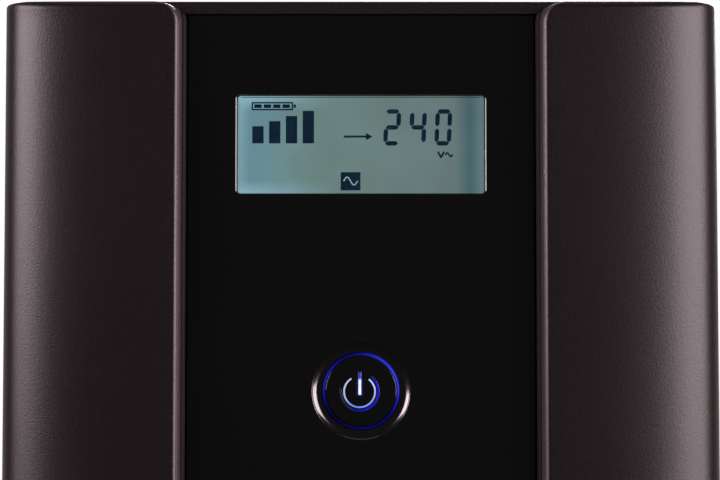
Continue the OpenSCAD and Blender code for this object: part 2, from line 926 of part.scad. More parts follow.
// Places of the screws through the cover's right side, along X
module side_screw_places() {
    for (z = side_screw_zs) translate([case_half, side_screw_y, z]) rotate([0, -90, 0]) children();
    for (y = leg_ys) translate([case_half, y, leg_screw_z]) rotate([0, -90, 0]) children();
}

module side_screw_holes(r) {
    both_sides() side_screw_places() translate([0, 0, -cut]) cylinder(r = r, h = 10);
}

module rear_screw_holes(r) {
    for (sx = [-1, 1]) translate([sx * tab_x, 0, rear_screw_z]) bar_y(r, rear_in - 8, rear_y + cut);
}

module base_chassis() {
    ribbon_slot = [ribbon_w + 10, 14];
    color([0.45, 0.46, 0.48])
    difference() {
        union() {
            box([-chassis_half, bezel_back, foot_h], [chassis_half, rear_in, floor_top]);
            box([-chassis_half, bezel_back, foot_h], [chassis_half, wall_back, wall_top]);
            box([-chassis_in + return_l, bezel_back, wall_top - sheet_t],
                [chassis_in - return_l, wall_back + return_l, wall_top]);
            both_sides() {
                box([chassis_in, bezel_back, foot_h], [chassis_half, rear_in, foot_h + flange_h]);
                box([tab_x - tab_w / 2, rear_in - sheet_t, foot_h],
                    [tab_x + tab_w / 2, rear_in, foot_h + flange_h]);
            }
        }
        for (sx = [-1, 1], z = hook_zs)
            translate([sx * hook_x, 0, z + hook_barb / 2])
                along_y(bezel_back - cut, wall_back + cut)
                    square([hook_w + cut, hook_t + hook_barb + cut], center = true);
        translate([0, 0, ribbon_z])
            along_y(bezel_back - cut, wall_back + cut) round_rect(ribbon_slot, 2);
        foot_places() cylinder(r = foot_screw_r + loose, h = floor_top + cut);
        chassis_screw_places() cylinder(r = screw_r + screw_gap, h = floor_top + cut);
        side_screw_holes(screw_r + screw_gap);
        rear_screw_holes(screw_r + screw_gap);
    }
}

// A slot with round ends along Y in a side wall
module vent_slot() {
    rotate([90, 0, 90])
        linear_extrude(2 * case_half + 2 * cut, center = true)
            round_rect([vent_l, vent_w], vent_w / 2 - 0.01);
}

module cover_section(half, top, r) {
    translate([-half, foot_h]) square([2 * half, top - foot_h - r]);
    translate([-half + r, foot_h]) square([2 * (half - r), top - foot_h]);
    for (sx = [-1, 1]) translate([sx * (half - r), top - r]) circle(r);
}

module case_cover() {
    color([0.14, 0.14, 0.145])
    difference() {
        along_y(cover_front, rear_y)
            difference() {
                cover_section(case_half, case_top, fold_r);
                translate([0, -cut])
                    cover_section(case_half - sheet_t, case_top - sheet_t + cut, fold_in_r);
            }
        for (i = [0 : vent_count - 1]) {
            translate([0, vent_front_y + vent_l / 2, vent_front_z + i * vent_pitch]) vent_slot();
            translate([0, vent_rear_y + vent_l / 2, vent_rear_z + i * vent_pitch]) vent_slot();
            translate([0, vent_rear_y - vent_l / 2 - 8, vent_rear_z + i * vent_pitch]) vent_slot();
        }
        side_screw_holes(screw_r + screw_gap);
    }
}

// Rings of slots in front of the fan, left whole along four spokes
module fan_grille() {
    rings = floor((fan_bore_r - grille_inner) / (grille_slot + grille_web));
    for (i = [0 : rings - 1]) {
        r = grille_inner + i * (grille_slot + grille_web);
        difference() {
            circle(r + grille_slot);
            circle(r);
            for (a = [45, 135]) rotate(a) square([4 * r, grille_spoke], center = true);
        }
    }
}

module fan_holes() {
    for (sx = [-1, 1], sz = [-1, 1]) translate([sx * fan_hole, 0, sz * fan_hole]) children();
}

module rear_panel() {
    color([0.14, 0.14, 0.145])
    difference() {
        union() {
            box([-chassis_half, rear_in, foot_h], [chassis_half, rear_y, wall_top]);
            both_sides()
                box([chassis_in, rear_in - rear_flange, foot_h + flange_h + 2],
                    [chassis_half, rear_y, wall_top]);
            box([-chassis_in, rear_in - rear_flange, wall_top - sheet_t],
                [chassis_in, rear_y, wall_top]);
        }
        translate([fan_x, 0, fan_z]) {
            along_y(rear_in - cut, rear_y + cut) fan_grille();
            fan_holes() bar_y(fan_screw_r + screw_gap, rear_in - cut, rear_y + cut);
        }
        translate([inlet_x, 0, inlet_z])
            along_y(rear_in - cut, rear_y + cut) square(inlet_body + fit_gap * [1, 1], center = true);
        for (z = block_rows)
            translate([0, 0, z])
                along_y(rear_in - cut, rear_y + cut)
                    square(block_body + fit_gap * [1, 1], center = true);
        translate([breaker_x, 0, inlet_z]) bar_y(collar_r + fit_gap, rear_in - cut, rear_y + cut);
        translate([usb_x, 0, comm_top + usb_shell[1] / 2])
            along_y(rear_in - cut, rear_y + cut) square(usb_shell + fit_gap * [1, 1], center = true);
        translate([line_x, 0, comm_top + line_body[1] / 2])
            along_y(rear_in - cut, rear_y + cut) square(line_body + fit_gap * [1, 1], center = true);
        translate([serial_x, 0, comm_top + serial_body[1] / 2]) {
            along_y(rear_in - cut, rear_y + cut)
                round_rect(serial_shell + fit_gap * [1, 1], 2);
            for (sx = [-1, 1])
                translate([sx * serial_post_x, 0, 0]) bar_y(screw_r + screw_gap, rear_in - cut, rear_y + cut);
        }
        translate([slot_x, 0, slot_z]) {
            along_y(rear_in - cut, rear_y + cut) round_rect(slot_mouth, 2);
            for (sz = [-1, 1])
                translate([0, 0, sz * slot_screw_z])
                    bar_y(screw_r + screw_gap, rear_in - cut, rear_y + cut);
        }
        side_screw_holes(screw_r + screw_gap);
        rear_screw_holes(screw_r + screw_gap);
    }
}

module rubber_feet() {
    color([0.08, 0.08, 0.08])
    foot_places()
        rotate_extrude()
            polygon([[foot_screw_r + loose, foot_bore_h], [foot_bore_r, foot_bore_h], [foot_bore_r, 0],
                     [foot_r - foot_draft - 1, 0], [foot_r - foot_draft, 1], [foot_r, foot_h],
                     [foot_screw_r + loose, foot_h]]);
}

module foot_screws() {
    color([0.7, 0.7, 0.7])
    foot_places() {
        translate([0, 0, foot_bore_h - foot_head_t]) cylinder(r = foot_head_r, h = foot_head_t);
        cylinder(r = foot_screw_r, h = floor_top);
    }
}

// A pan head screw whose head lies on Z = 0, with its shank along +Z
module pan_screw(shank) {
    translate([0, 0, -screw_head_t]) cylinder(r = screw_head_r, h = screw_head_t);
    translate([0, 0, -screw_head_t / 2]) cylinder(r = screw_r, h = shank + screw_head_t / 2);
}

module case_screws() {
    side_len = case_half - leg_out + sheet_t + 0.3;
    color([0.12, 0.12, 0.12]) {
        both_sides() side_screw_places() pan_screw(side_len);
        for (sx = [-1, 1])
            translate([sx * tab_x, rear_y, rear_screw_z]) rotate([90, 0, 0]) pan_screw(2 * sheet_t + 3);
    }
}

module chassis_screws() {
    color([0.75, 0.75, 0.76])
    chassis_screw_places()
        translate([0, 0, floor_top + strap_t]) mirror([0, 0, 1]) pan_screw(strap_t + sheet_t);
}

// Batteries

module battery(x) {
    color([0.16, 0.17, 0.19])
    translate([x, (battery_front + battery_end) / 2, floor_top]) {
        linear_extrude(battery_h - lid_h) round_rect([battery_w, battery_l], battery_edge_r);
        translate([0, 0, battery_h - lid_h])
            linear_extrude(lid_step)
                round_rect([battery_w, battery_l] - 2 * lid_step * [1, 1], battery_edge_r - lid_step);
        difference() {
            translate([0, 0, battery_h - lid_h + lid_step])
                linear_extrude(lid_h - lid_step) round_rect([battery_w, battery_l], battery_edge_r);
            for (y = span(-battery_l / 3, battery_l / 3, 5))
                translate([0, y, battery_h - lid_step]) cylinder(r = 7, h = lid_step + cut);
        }
    }
}

module battery_left() {
    battery(-battery_x);
}

module battery_right() {
    battery(battery_x);
}

tab_y = battery_front + tab_inset;
tab_xs = [-battery_x - tab_off, -battery_x + tab_off, battery_x - tab_off, battery_x + tab_off];

module battery_terminals() {
    color([0.8, 0.75, 0.6])
    for (x = tab_xs)
        translate([x, tab_y, battery_top + tab_size[2] / 2]) cube(tab_size, center = true);
}

module battery_bracket() {
    lid = battery_top + fit_gap;
    color([0.6, 0.61, 0.63])
    difference() {
        along_x(-bracket_half, bracket_half)
            polygon([[bracket_y + sheet_t + bracket_foot, floor_top],
                     [bracket_y + sheet_t + bracket_foot, floor_top + strap_t],
                     [bracket_y + sheet_t, floor_top + strap_t], [bracket_y + sheet_t, lid + sheet_t],
                     [bracket_y - bracket_lip, lid + sheet_t], [bracket_y - bracket_lip, lid],
                     [bracket_y, lid], [bracket_y, floor_top]]);
        chassis_screw_places() cylinder(r = screw_r + screw_gap, h = floor_top + strap_t + cut);
    }
}

// A push-on crimp over a battery tab
module crimp(x) {
    translate([x, tab_y, battery_top + loose + crimp_size[2] / 2])
    difference() {
        cube(crimp_size, center = true);
        translate([0, 0, -crimp_size[2] / 2 + tab_size[2] / 2])
            cube(tab_size + 2 * loose * [1, 1, 1], center = true);
    }
}

crimp_top = battery_top + crimp_size[2];

module battery_link() {
    a = [tab_xs[1], tab_y, crimp_top - cut];
    b = [tab_xs[2], tab_y, crimp_top - cut];
    rise = [0, 0, link_rise];
    color([0.1, 0.1, 0.1]) {
        crimp(tab_xs[1]);
        crimp(tab_xs[2]);
        lead([a, a + rise, b + rise, b], [0, 1, 0]);
    }
}

// A lead from a battery tab, up past the shelf and down onto the main board
module board_lead(sx) {
    a = [sx * tab_xs[3], tab_y, crimp_top - cut];
    b = [sx * tab_xs[3], board_front + lead_in, board_top];
    crimp(sx * tab_xs[3]);
    lead([a, a + [0, 0, lead_rise], b + [0, 0, lead_rise], b], [1, 0, 0]);
}

module battery_lead_red() {
    color([0.7, 0.08, 0.07]) board_lead(1);
}

module battery_lead_black() {
    color([0.08, 0.08, 0.08]) board_lead(-1);
}

// Transformer

module bolt_places() {
    for (sx = [-1, 1], z = [floor_top + leg / 2, floor_top + core_h - leg / 2])
        translate([sx * bolt_x, 0, z]) children();
}

module transformer_core() {
    color([0.3, 0.3, 0.32])
    difference() {
        along_y(core_front, core_back)
            translate([0, core_mid_z])
                difference() {
                    square([core_w, core_h], center = true);
                    for (sx = [-1, 1])
                        translate([sx * 1.5 * leg, 0]) square([leg, core_h - 2 * leg], center = true);
                }
        bolt_places() bar_y(bolt_r + loose, core_front - cut, core_back + cut);
    }
}

module transformer_coil() {
    color([0.75, 0.45, 0.2])
    translate([0, core_mid_y, floor_top + leg + fit_gap])
        linear_extrude(core_h - 2 * leg - 2 * fit_gap)
            difference() {
                round_rect([4 * leg - 2 * fit_gap, core_stack + 2 * coil_reach], 8);
                square([2 * leg + 2 * fit_gap, core_stack + 2 * fit_gap], center = true);
            }
}

module transformer_feet() {
    color([0.6, 0.61, 0.63])
    difference() {
        along_x(-core_w / 2, core_w / 2) {
            translate([core_front - foot_leg, floor_top]) square([foot_leg, strap_t]);
            translate([core_front - strap_t, floor_top]) square([strap_t, strap_h]);
            translate([core_back, floor_top]) square([foot_leg, strap_t]);
            translate([core_back, floor_top]) square([strap_t, strap_h]);
        }
        bolt_places() bar_y(bolt_r + loose, core_front - foot_leg, core_back + foot_leg);
        chassis_screw_places() cylinder(r = screw_r + screw_gap, h = floor_top + strap_t + cut);
    }
}

module transformer_bolts() {
    color([0.75, 0.75, 0.76])
    bolt_places() {
        bar_y(bolt_r, core_front - strap_t - bolt_head_t, core_back + strap_t + bolt_head_t);
        for (y = [core_front - strap_t - bolt_head_t, core_back + strap_t])
            translate([0, y, 0]) rotate([-90, 0, 0]) cylinder(r = bolt_head_r, h = bolt_head_t, $fn = 6);
    }
}

// Power board

module board_shelf() {
    color([0.6, 0.61, 0.63])
    difference() {
        union() {
            box([-leg_out, shelf_front, shelf_z], [leg_out, shelf_back, shelf_top]);
            both_sides()
                for (y = leg_ys)
                    box([leg_out - sheet_t, y - leg_w / 2, floor_top], [leg_out, y + leg_w / 2, shelf_top]);
        }
        side_screw_holes(screw_r + screw_gap);
        stand_places() translate([0, 0, shelf_z - cut]) cylinder(r = board_screw_r, h = sheet_t + 2 * cut);
    }
}

module stand_places() {
    for (sx = [-1, 1], y = stand_ys) translate([sx * stand_x, y, 0]) children();
}

module board_standoffs() {
    color([0.8, 0.7, 0.4])
    stand_places()
        difference() {
            translate([0, 0, shelf_top]) cylinder(r = stand_af_r, h = standoff_h, $fn = 6);
            translate([0, 0, board_z - board_screw_in - cut])
                cylinder(r = board_screw_r + loose, h = board_screw_in + 2 * cut);
        }
}

module main_board() {
    color([0.1, 0.35, 0.2])
    difference() {
        box([-board_w / 2, board_front, board_z], [board_w / 2, board_back, board_top]);
        stand_places() translate([0, 0, board_z - cut])
            cylinder(r = board_screw_r + loose, h = pcb_t + 2 * cut);
    }
}

module board_screws() {
    color([0.75, 0.75, 0.76])
    stand_places() {
        translate([0, 0, board_top]) cylinder(r = screw_head_r, h = screw_head_t);
        translate([0, 0, board_z - board_screw_in])
            cylinder(r = board_screw_r, h = board_screw_in + pcb_t + cut);
    }
}

module display_screws() {
    color([0.75, 0.75, 0.76])
    for (sx = [-1, 1], z = post_zs)
        translate([sx * post_x, 0, z]) {
            bar_y(small_head_r, pcb_back, pcb_back + small_head_t);
            bar_y(small_screw_r, pcb_front - small_screw_in, pcb_back + cut);
        }
}

module heat_sink() {
    color([0.75, 0.76, 0.78])
    along_y(sink_front, sink_front + sink_l) {
        translate([sink_x, board_top]) square([sink_plate, sink_h]);
        for (z = span(0, sink_h - fin_t, fin_count - 1))
            translate([sink_x + sink_plate / 2, board_top + z]) square([fin_l, fin_t]);
    }
}

module heat_sink_right() {
    heat_sink();
}

module heat_sink_left() {
    mirror([1, 0, 0]) heat_sink();
}

module power_transistors() {
    pitch = sink_l / transistor_count;
    leg_t = 1;
    color([0.08, 0.08, 0.08])
    both_sides()
        for (i = [0 : transistor_count - 1])
            translate([sink_x - transistor[0], sink_front + (i + 0.5) * pitch, board_top]) {
                translate([0, -transistor[1] / 2, transistor_lift]) cube(transistor);
                for (j = [-1 : 1])
                    translate([transistor[0] / 2, 2.5 * j - leg_t / 2, 0])
                        cube([leg_t, leg_t, transistor_lift + cut]);
            }
}

module bulk_capacitors() {
    groove = 0.8;
    color([0.12, 0.14, 0.22])
    for (x = cap_can_xs)
        translate([x, cap_can_y, board_top])
            rotate_extrude()
                polygon([[0, 0], [cap_can_r, 0], [cap_can_r, 3], [cap_can_r - groove, 4], [cap_can_r, 5],
                         [cap_can_r, cap_can_h - 1], [cap_can_r - 1, cap_can_h], [0, cap_can_h]]);
}

module relays() {
    color([0.1, 0.12, 0.3])
    for (sx = [-1, 1], i = [0 : 2])
        translate([sx * relay_x - relay[0] / 2, relay_front + i * relay_pitch, board_top]) cube(relay);
}

module filter_choke() {
    color([0.7, 0.42, 0.18])
    translate([0, choke_y, board_top + choke_wire])
        rotate_extrude()
            translate([choke_r, 0]) {
                circle(choke_wire);
                translate([-choke_wire / 2, -choke_wire]) square(choke_wire);
            }
}

// Fan

module at_fan() {
    translate([fan_x, 0, fan_z]) children();
}

module fan_frame() {
    color([0.09, 0.09, 0.09])
    at_fan() {
        difference() {
            along_y(fan_front, rear_in)
                difference() {
                    round_rect([fan_size, fan_size], fan_corner_r);
                    circle(fan_bore_r);
                }
            fan_holes() bar_y(fan_screw_r + screw_gap, fan_front - cut, rear_in + cut);
        }
        along_y(rear_in - spider_t, rear_in)
            intersection() {
                circle(fan_bore_r + cut);
                for (a = [45, 135]) rotate(a)
                    difference() {
                        square([fan_size, strut_w], center = true);
                        circle(hub_r - cut);
                    }
            }
        along_y(rear_in - spider_t, rear_in)
            difference() {
                circle(hub_r);
                circle(shaft_r + shaft_gap);
            }
        along_y(rotor_front + hub_wall + hub_gap, rear_in - spider_t)
            difference() {
                circle(stator_r);
                circle(shaft_r + shaft_gap);
            }
    }
}

module fan_rotor() {
    depth = rotor_back - rotor_front;
    color([0.11, 0.11, 0.11])
    at_fan() {
        turned_y() {
            translate([0, rotor_front]) square([hub_r, hub_wall]);
            translate([hub_r - hub_wall, rotor_front]) square([hub_wall, depth]);
            translate([0, rotor_front]) square([shaft_r, depth]);
        }
        translate([0, rotor_front + cut, 0])
            rotate([-90, 0, 0])
                for (i = [0 : blade_count - 1])
                    rotate(360 * i / blade_count)
                        linear_extrude(depth - 2 * cut, twist = blade_twist, slices = 5)
                            translate([hub_r - hub_wall / 2, -blade_t / 2])
                                square([blade_tip - hub_r + hub_wall / 2, blade_t]);
    }
}

module fan_screws() {
    color([0.12, 0.12, 0.12])
    at_fan()
        fan_holes() {
            bar_y(fan_head_r, rear_y, rear_y + fan_head_t);
            bar_y(fan_screw_r, rear_in - fan_screw_in, rear_y + cut);
        }
}

// Sockets

module pin_places() {
    for (p = [[-pin_off, -pin_lift], [0, pin_lift], [pin_off, -pin_lift]])
        translate([p[0], p[1]]) children();
}

module ac_inlet() {
    mouth = rear_y + socket_flange_t;
    floor_y = mouth - inlet_deep;
    color([0.09, 0.09, 0.09])
    translate([inlet_x, 0, inlet_z])
    difference() {
        union() {
            along_y(rear_y, mouth) round_rect(inlet_flange, 2);
            along_y(floor_y - inlet_back_t, rear_y + cut) square(inlet_body, center = true);
        }
        along_y(floor_y, mouth + cut) keyed_rect(inlet_cavity, key_cut);
        along_y(floor_y - inlet_back_t - cut, floor_y + cut)
            pin_places() square(pin_size + 2 * loose * [1, 1], center = true);
    }
}

module inlet_pins() {
    mouth = rear_y + socket_flange_t;
    floor_y = mouth - inlet_deep;
    color([0.8, 0.75, 0.6])
    translate([inlet_x, 0, inlet_z])
        along_y(floor_y - inlet_back_t - pin_tail, mouth - pin_short)
            pin_places() square(pin_size, center = true);
}

module outlet_block(z) {
    mouth = rear_y + block_flange_t;
    color([0.09, 0.09, 0.09])
    translate([0, 0, z])
    difference() {
        union() {
            along_y(rear_y, mouth) round_rect(block_flange, 2);
            along_y(rear_in - block_deep, rear_y + cut) square(block_body, center = true);
        }
        for (i = [0 : sockets - 1])
            translate([(i - (sockets - 1) / 2) * socket_pitch, 0, 0]) {
                along_y(mouth - socket_deep, mouth + cut)
                    difference() {
                        keyed_rect(socket_outer, key_cut + 1);
                        keyed_rect(socket_core, key_cut);
                    }
                along_y(mouth - socket_deep, mouth + cut)
                    pin_places() square(socket_slot, center = true);
            }
    }
}

module outlet_block_upper() {
    outlet_block(block_rows[1]);
}

module outlet_block_lower() {
    outlet_block(block_rows[0]);
}

// Breaker

module at_breaker() {
    translate([breaker_x, 0, inlet_z]) children();
}

module breaker_body() {
    color([0.1, 0.1, 0.1])
    at_breaker()
    difference() {
        union() {
            along_y(rear_in - breaker[1], rear_in) square([breaker[0], breaker[2]], center = true);
            bar_y(collar_r, rear_in - cut, rear_y + collar_out);
        }
        bar_y(collar_bore, rear_y + collar_out - reset_in, rear_y + collar_out + cut);
    }
}

module breaker_nut() {
    color([0.75, 0.75, 0.76])
    at_breaker()
    difference() {
        translate([0, rear_y, 0]) rotate([-90, 0, 0]) cylinder(r = nut_af_r, h = nut_t, $fn = 6);
        bar_y(collar_r + loose, rear_y - cut, rear_y + nut_t + cut);
    }
}

module breaker_button() {
    color([0.05, 0.05, 0.05])
    at_breaker() bar_y(reset_r, rear_y + collar_out - reset_in + loose, rear_y + collar_out + reset_out);
}

// Communication ports

module comm_board() {
    color([0.1, 0.35, 0.2])
    box([-comm_half, rear_in - comm_deep, comm_z], [comm_half, rear_in - 0.3, comm_top]);
}

module usb_port() {
    mouth = rear_y + port_proud;
    color([0.75, 0.76, 0.78])
    translate([usb_x, 0, comm_top + usb_shell[1] / 2]) {
        difference() {
            along_y(rear_in - usb_len, mouth) square(usb_shell, center = true);
            along_y(mouth - usb_deep, mouth + cut) square(usb_mouth, center = true);
        }
        along_y(mouth - usb_deep - cut, mouth - cut) square(usb_tongue, center = true);
    }
}

module serial_port() {
    color([0.75, 0.76, 0.78])
    translate([serial_x, 0, comm_top + serial_body[1] / 2]) {
        difference() {
            union() {
                along_y(rear_in - 1, rear_in) round_rect([serial_flange[0], serial_body[1]], 1);
                along_y(rear_in - serial_body[0], rear_in - 1 + loose)
                    square([serial_body[0], serial_body[1]], center = true);
                along_y(rear_in - 1, rear_y + serial_out) round_rect(serial_shell, 1.8);
            }
            along_y(rear_y + serial_out - serial_lip, rear_y + serial_out + cut)
                round_rect(serial_shell - serial_lip * [1, 1], 1.4);
            for (row = [[5, 1.4], [4, -1.4]], i = [0 : row[0] - 1])
                translate([(i - (row[0] - 1) / 2) * 2.77, 0, row[1]])
                    bar_y(0.55, rear_y + serial_out - 5, rear_y + serial_out + cut);
        }
        for (sx = [-1, 1])
            translate([sx * serial_post_x, 0, 0]) {
                bar_y(screw_r, rear_in - cut / 2, rear_y + cut);
                translate([0, rear_y, 0])
                    rotate([-90, 0, 0]) cylinder(r = serial_post_r, h = serial_post_out, $fn = 6);
            }
    }
}

module line_ports() {
    mouth = rear_y + port_proud;
    color([0.1, 0.1, 0.1])
    translate([line_x, 0, comm_top + line_body[1] / 2])
    difference() {
        along_y(rear_in - line_len, mouth) square(line_body, center = true);
        for (sx = [-1, 1])
            translate([sx * line_pitch / 2, 0, 0]) {
                along_y(mouth - line_deep, mouth + cut) square(line_mouth, center = true);
                translate([0, 0, -line_mouth[1] / 2 - line_latch[1] / 2 + loose])
                    along_y(mouth - line_deep, mouth + cut) square(line_latch, center = true);
            }
    }
}

// Option slot

module slot_cover() {
    color([0.14, 0.14, 0.145])
    translate([slot_x, 0, slot_z])
    difference() {
        along_y(rear_y, rear_y + sheet_t) round_rect(slot_plate, 2);
        for (sz = [-1, 1])
            translate([0, 0, sz * slot_screw_z]) bar_y(screw_r + screw_gap, rear_y - cut, rear_y + sheet_t + cut);
    }
}

module slot_screws() {
    color([0.75, 0.75, 0.76])
    for (sz = [-1, 1])
        translate([slot_x, 0, slot_z + sz * slot_screw_z]) {
            bar_y(thumb_r, rear_y + sheet_t, rear_y + sheet_t + thumb_t);
            bar_y(screw_r, rear_in - 3, rear_y + sheet_t + cut);
        }
}

front_bezel();
front_panel();
lcd_lens();
lcd_glass();
lcd_backlight();
lcd_holder();
display_board();
power_button();
button_light_guide();
switch_body();
switch_plunger();
button_leds();
display_ribbon();
ribbon_headers();
base_chassis();
case_cover();
rear_panel();
rubber_feet();
foot_screws();
case_screws();
chassis_screws();
battery_left();
battery_right();
battery_terminals();
battery_bracket();
battery_link();
battery_lead_red();
battery_lead_black();
transformer_core();
transformer_coil();
transformer_feet();
transformer_bolts();
board_shelf();
board_standoffs();
main_board();
board_screws();
display_screws();
heat_sink_left();
heat_sink_right();
power_transistors();
bulk_capacitors();
relays();
filter_choke();
fan_frame();
fan_rotor();
fan_screws();
ac_inlet();
inlet_pins();
outlet_block_upper();
outlet_block_lower();
breaker_body();
breaker_nut();
breaker_button();
comm_board();
usb_port();
serial_port();
line_ports();
slot_cover();
slot_screws();
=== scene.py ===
"""Looks of a tower uninterruptible power supply: CAD frame, finer front pieces, materials, light, camera."""

import json
import math

import bpy
import numpy as np
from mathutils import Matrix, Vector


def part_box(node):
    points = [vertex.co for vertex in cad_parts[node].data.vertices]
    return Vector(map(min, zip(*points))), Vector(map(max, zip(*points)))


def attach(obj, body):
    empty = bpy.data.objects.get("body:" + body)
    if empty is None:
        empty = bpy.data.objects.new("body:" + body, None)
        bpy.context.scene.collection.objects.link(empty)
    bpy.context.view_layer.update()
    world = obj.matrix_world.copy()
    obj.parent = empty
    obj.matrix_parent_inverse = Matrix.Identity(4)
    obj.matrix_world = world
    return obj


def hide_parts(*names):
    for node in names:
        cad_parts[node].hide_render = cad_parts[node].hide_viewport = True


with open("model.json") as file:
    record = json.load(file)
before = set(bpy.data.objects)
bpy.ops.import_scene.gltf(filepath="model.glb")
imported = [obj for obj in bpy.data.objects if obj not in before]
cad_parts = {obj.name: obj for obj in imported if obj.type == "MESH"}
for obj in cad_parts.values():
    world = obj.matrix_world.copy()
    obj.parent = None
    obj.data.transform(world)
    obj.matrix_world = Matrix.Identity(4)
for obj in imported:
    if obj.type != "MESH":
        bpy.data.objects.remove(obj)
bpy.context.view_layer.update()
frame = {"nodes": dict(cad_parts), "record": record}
nodes = frame["nodes"]
MM = 0.001


# Measures, in millimetres, taken from the CAD frame

def mm_box(node):
    """Lowest and highest corner of a CAD node in millimetres."""
    low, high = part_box(node)
    return np.array(low) / MM, np.array(high) / MM


bezel_low, bezel_high = mm_box("front_bezel")
panel_low, panel_high = mm_box("front_panel")
lens_low, lens_high = mm_box("lcd_lens")
cap_low, cap_high = mm_box("power_button")
glass_front = mm_box("lcd_glass")[0][1]
guide_back = mm_box("button_light_guide")[1][1]
cover_front = mm_box("case_cover")[0][1]

FRONT_Y = bezel_low[1]
PANEL_Y = panel_low[1]
PANEL_BACK = lens_low[1]
COVER_GAP = 0.3
BEZEL_BACK = cover_front - COVER_GAP
SIDE_X = bezel_high[0]
TOP_Z = bezel_high[2]
BASE_Z = bezel_low[2]
PANEL_X = panel_high[0]
PANEL_TOP = panel_high[2]
PANEL_BASE = panel_low[2]
GAP = 0.15
RIM = 0.7
RECESS_X = PANEL_X + GAP + RIM
WIN_Z = (lens_low[2] + lens_high[2]) / 2
WIN_X = 25.0
WIN_H = 10.0
BUTTON_Z = (cap_low[2] + cap_high[2]) / 2
CAP_Y = cap_low[1]
CAP_R = cap_high[0]
SLEEVE_R = 7.9
RING_MID = 7.46
STEM_X = -0.24
DISH_R = 9.82
DISH_ARC_R = 1.9
DISH_SLOPE = math.radians(49)
LIP_R = 0.15


# Meshes

def patch(points, wrap=(False, False), out=(0, -1, 0), away=None):
    """A grid of points [u, v, xyz] in mm. Faces look along out, or away from a point, and empty ones go."""
    points = np.asarray(points, float)
    nu, nv = points.shape[:2]
    i = np.arange(nu if wrap[0] else nu - 1)
    j = np.arange(nv if wrap[1] else nv - 1)
    a, b = np.meshgrid(i, j, indexing="ij")
    c, d = (a + 1) % nu, (b + 1) % nv
    faces = np.stack([a * nv + b, c * nv + b, c * nv + d, a * nv + d], -1).reshape(-1, 4)
    flat = points.reshape(-1, 3)
    normal = np.cross(flat[faces[:, 2]] - flat[faces[:, 0]], flat[faces[:, 3]] - flat[faces[:, 1]])
    aim = np.asarray(out, float) if away is None else flat[faces].mean(1) - np.asarray(away, float)
    if (normal * aim).sum() < 0:
        faces = faces[:, ::-1]
    return flat, faces[np.linalg.norm(normal, axis=1) > 1e-6]


def piece(name, patches, material, body="case", stands_for=(), smooth=True):
    """One mesh object at the origin from several patches, riding on a body."""
    points, faces, start = [], [], 0
    for flat, quads in patches:
        points.append(flat)
        faces.append(quads + start)
        start += len(flat)
    mesh = bpy.data.meshes.new(name)
    mesh.from_pydata((np.concatenate(points) * MM).tolist(), [], np.concatenate(faces).tolist())
    mesh.polygons.foreach_set("use_smooth", [smooth] * len(mesh.polygons))
    mesh.update()
    obj = bpy.data.objects.new(name, mesh)
    bpy.context.scene.collection.objects.link(obj)
    obj.data.materials.append(material)
    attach(obj, body)
    if stands_for:
        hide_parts(*stands_for)
    return obj


def box_patches(low, high):
    """The six flat sides of a box."""
    x0, y0, z0 = low
    x1, y1, z1 = high
    mid = (np.array(low) + np.array(high)) / 2
    sides = [
        [[(x0, y0, z0), (x1, y0, z0)], [(x0, y0, z1), (x1, y0, z1)]],
        [[(x0, y1, z0), (x1, y1, z0)], [(x0, y1, z1), (x1, y1, z1)]],
        [[(x0, y0, z0), (x0, y1, z0)], [(x0, y0, z1), (x0, y1, z1)]],
        [[(x1, y0, z0), (x1, y1, z0)], [(x1, y0, z1), (x1, y1, z1)]],
        [[(x0, y0, z0), (x1, y0, z0)], [(x0, y1, z0), (x1, y1, z0)]],
        [[(x0, y0, z1), (x1, y0, z1)], [(x0, y1, z1), (x1, y1, z1)]],
    ]
    return [patch(s, away=mid) for s in sides]


def arc(cx, cy, r, a0, a1, n):
    """Points on a circle from angle a0 to a1, in degrees."""
    a = np.radians(np.linspace(a0, a1, n))
    return np.stack([cx + r * np.cos(a), cy + r * np.sin(a)], -1)


def round_loop(w, h, r, n=9):
    """A closed rectangle of half width w and half height h with corners of radius r, counter-clockwise."""
    corners = [(w - r, h - r, 0), (r - w, h - r, 90), (r - w, r - h, 180), (w - r, r - h, 270)]
    return np.concatenate([arc(cx, cy, r, a, a + 90, n) for cx, cy, a in corners])


def frame_loop(w, h, inner_w, inner_h, inner_r, n=9):
    """A rectangle of half size w, h whose points pair with a round_loop inside; an odd n meets corners."""
    iw, ih = inner_w - inner_r, inner_h - inner_r
    half = n // 2
    t = np.linspace(0, 1, half + 1)
    out = []
    for sx, sz, first_x in ((1, 1, True), (-1, 1, False), (-1, -1, True), (1, -1, False)):
        corner = np.array([sx * w, sz * h])
        on_x = np.array([sx * w, sz * ih])
        on_z = np.array([sx * iw, sz * h])
        start, end = (on_x, on_z) if first_x else (on_z, on_x)
        lead = start + t[:, None] * (corner - start)
        tail = corner + t[:, None] * (end - corner)
        out.append(np.concatenate([lead, tail[1:]]))
    return np.concatenate(out)


def lift(loop, y, cx=0.0, cz=0.0):
    """A loop in X and Z set at a depth y."""
    return np.stack([loop[:, 0] + cx, np.full(len(loop), y), loop[:, 1] + cz], -1)


def turned(profile, cx, cz, n=128):
    """A profile of (radius, y) points turned about a line along Y through (cx, cz)."""
    a = np.linspace(0, 2 * np.pi, n, endpoint=False)
    r, y = np.asarray(profile, float).T
    x = cx + np.outer(np.cos(a), r)
    z = cz + np.outer(np.sin(a), r)
    return np.stack([x, np.broadcast_to(y, x.shape), z], -1)


# Materials

PER_MM = 1000.0


def rgb(code):
    """A six-figure sRGB colour as linear values, with full alpha."""
    parts = [int(code[i:i + 2], 16) / 255 for i in (0, 2, 4)]
    return [c / 12.92 if c <= 0.04045 else ((c + 0.055) / 1.055) ** 2.4 for c in parts] + [1.0]


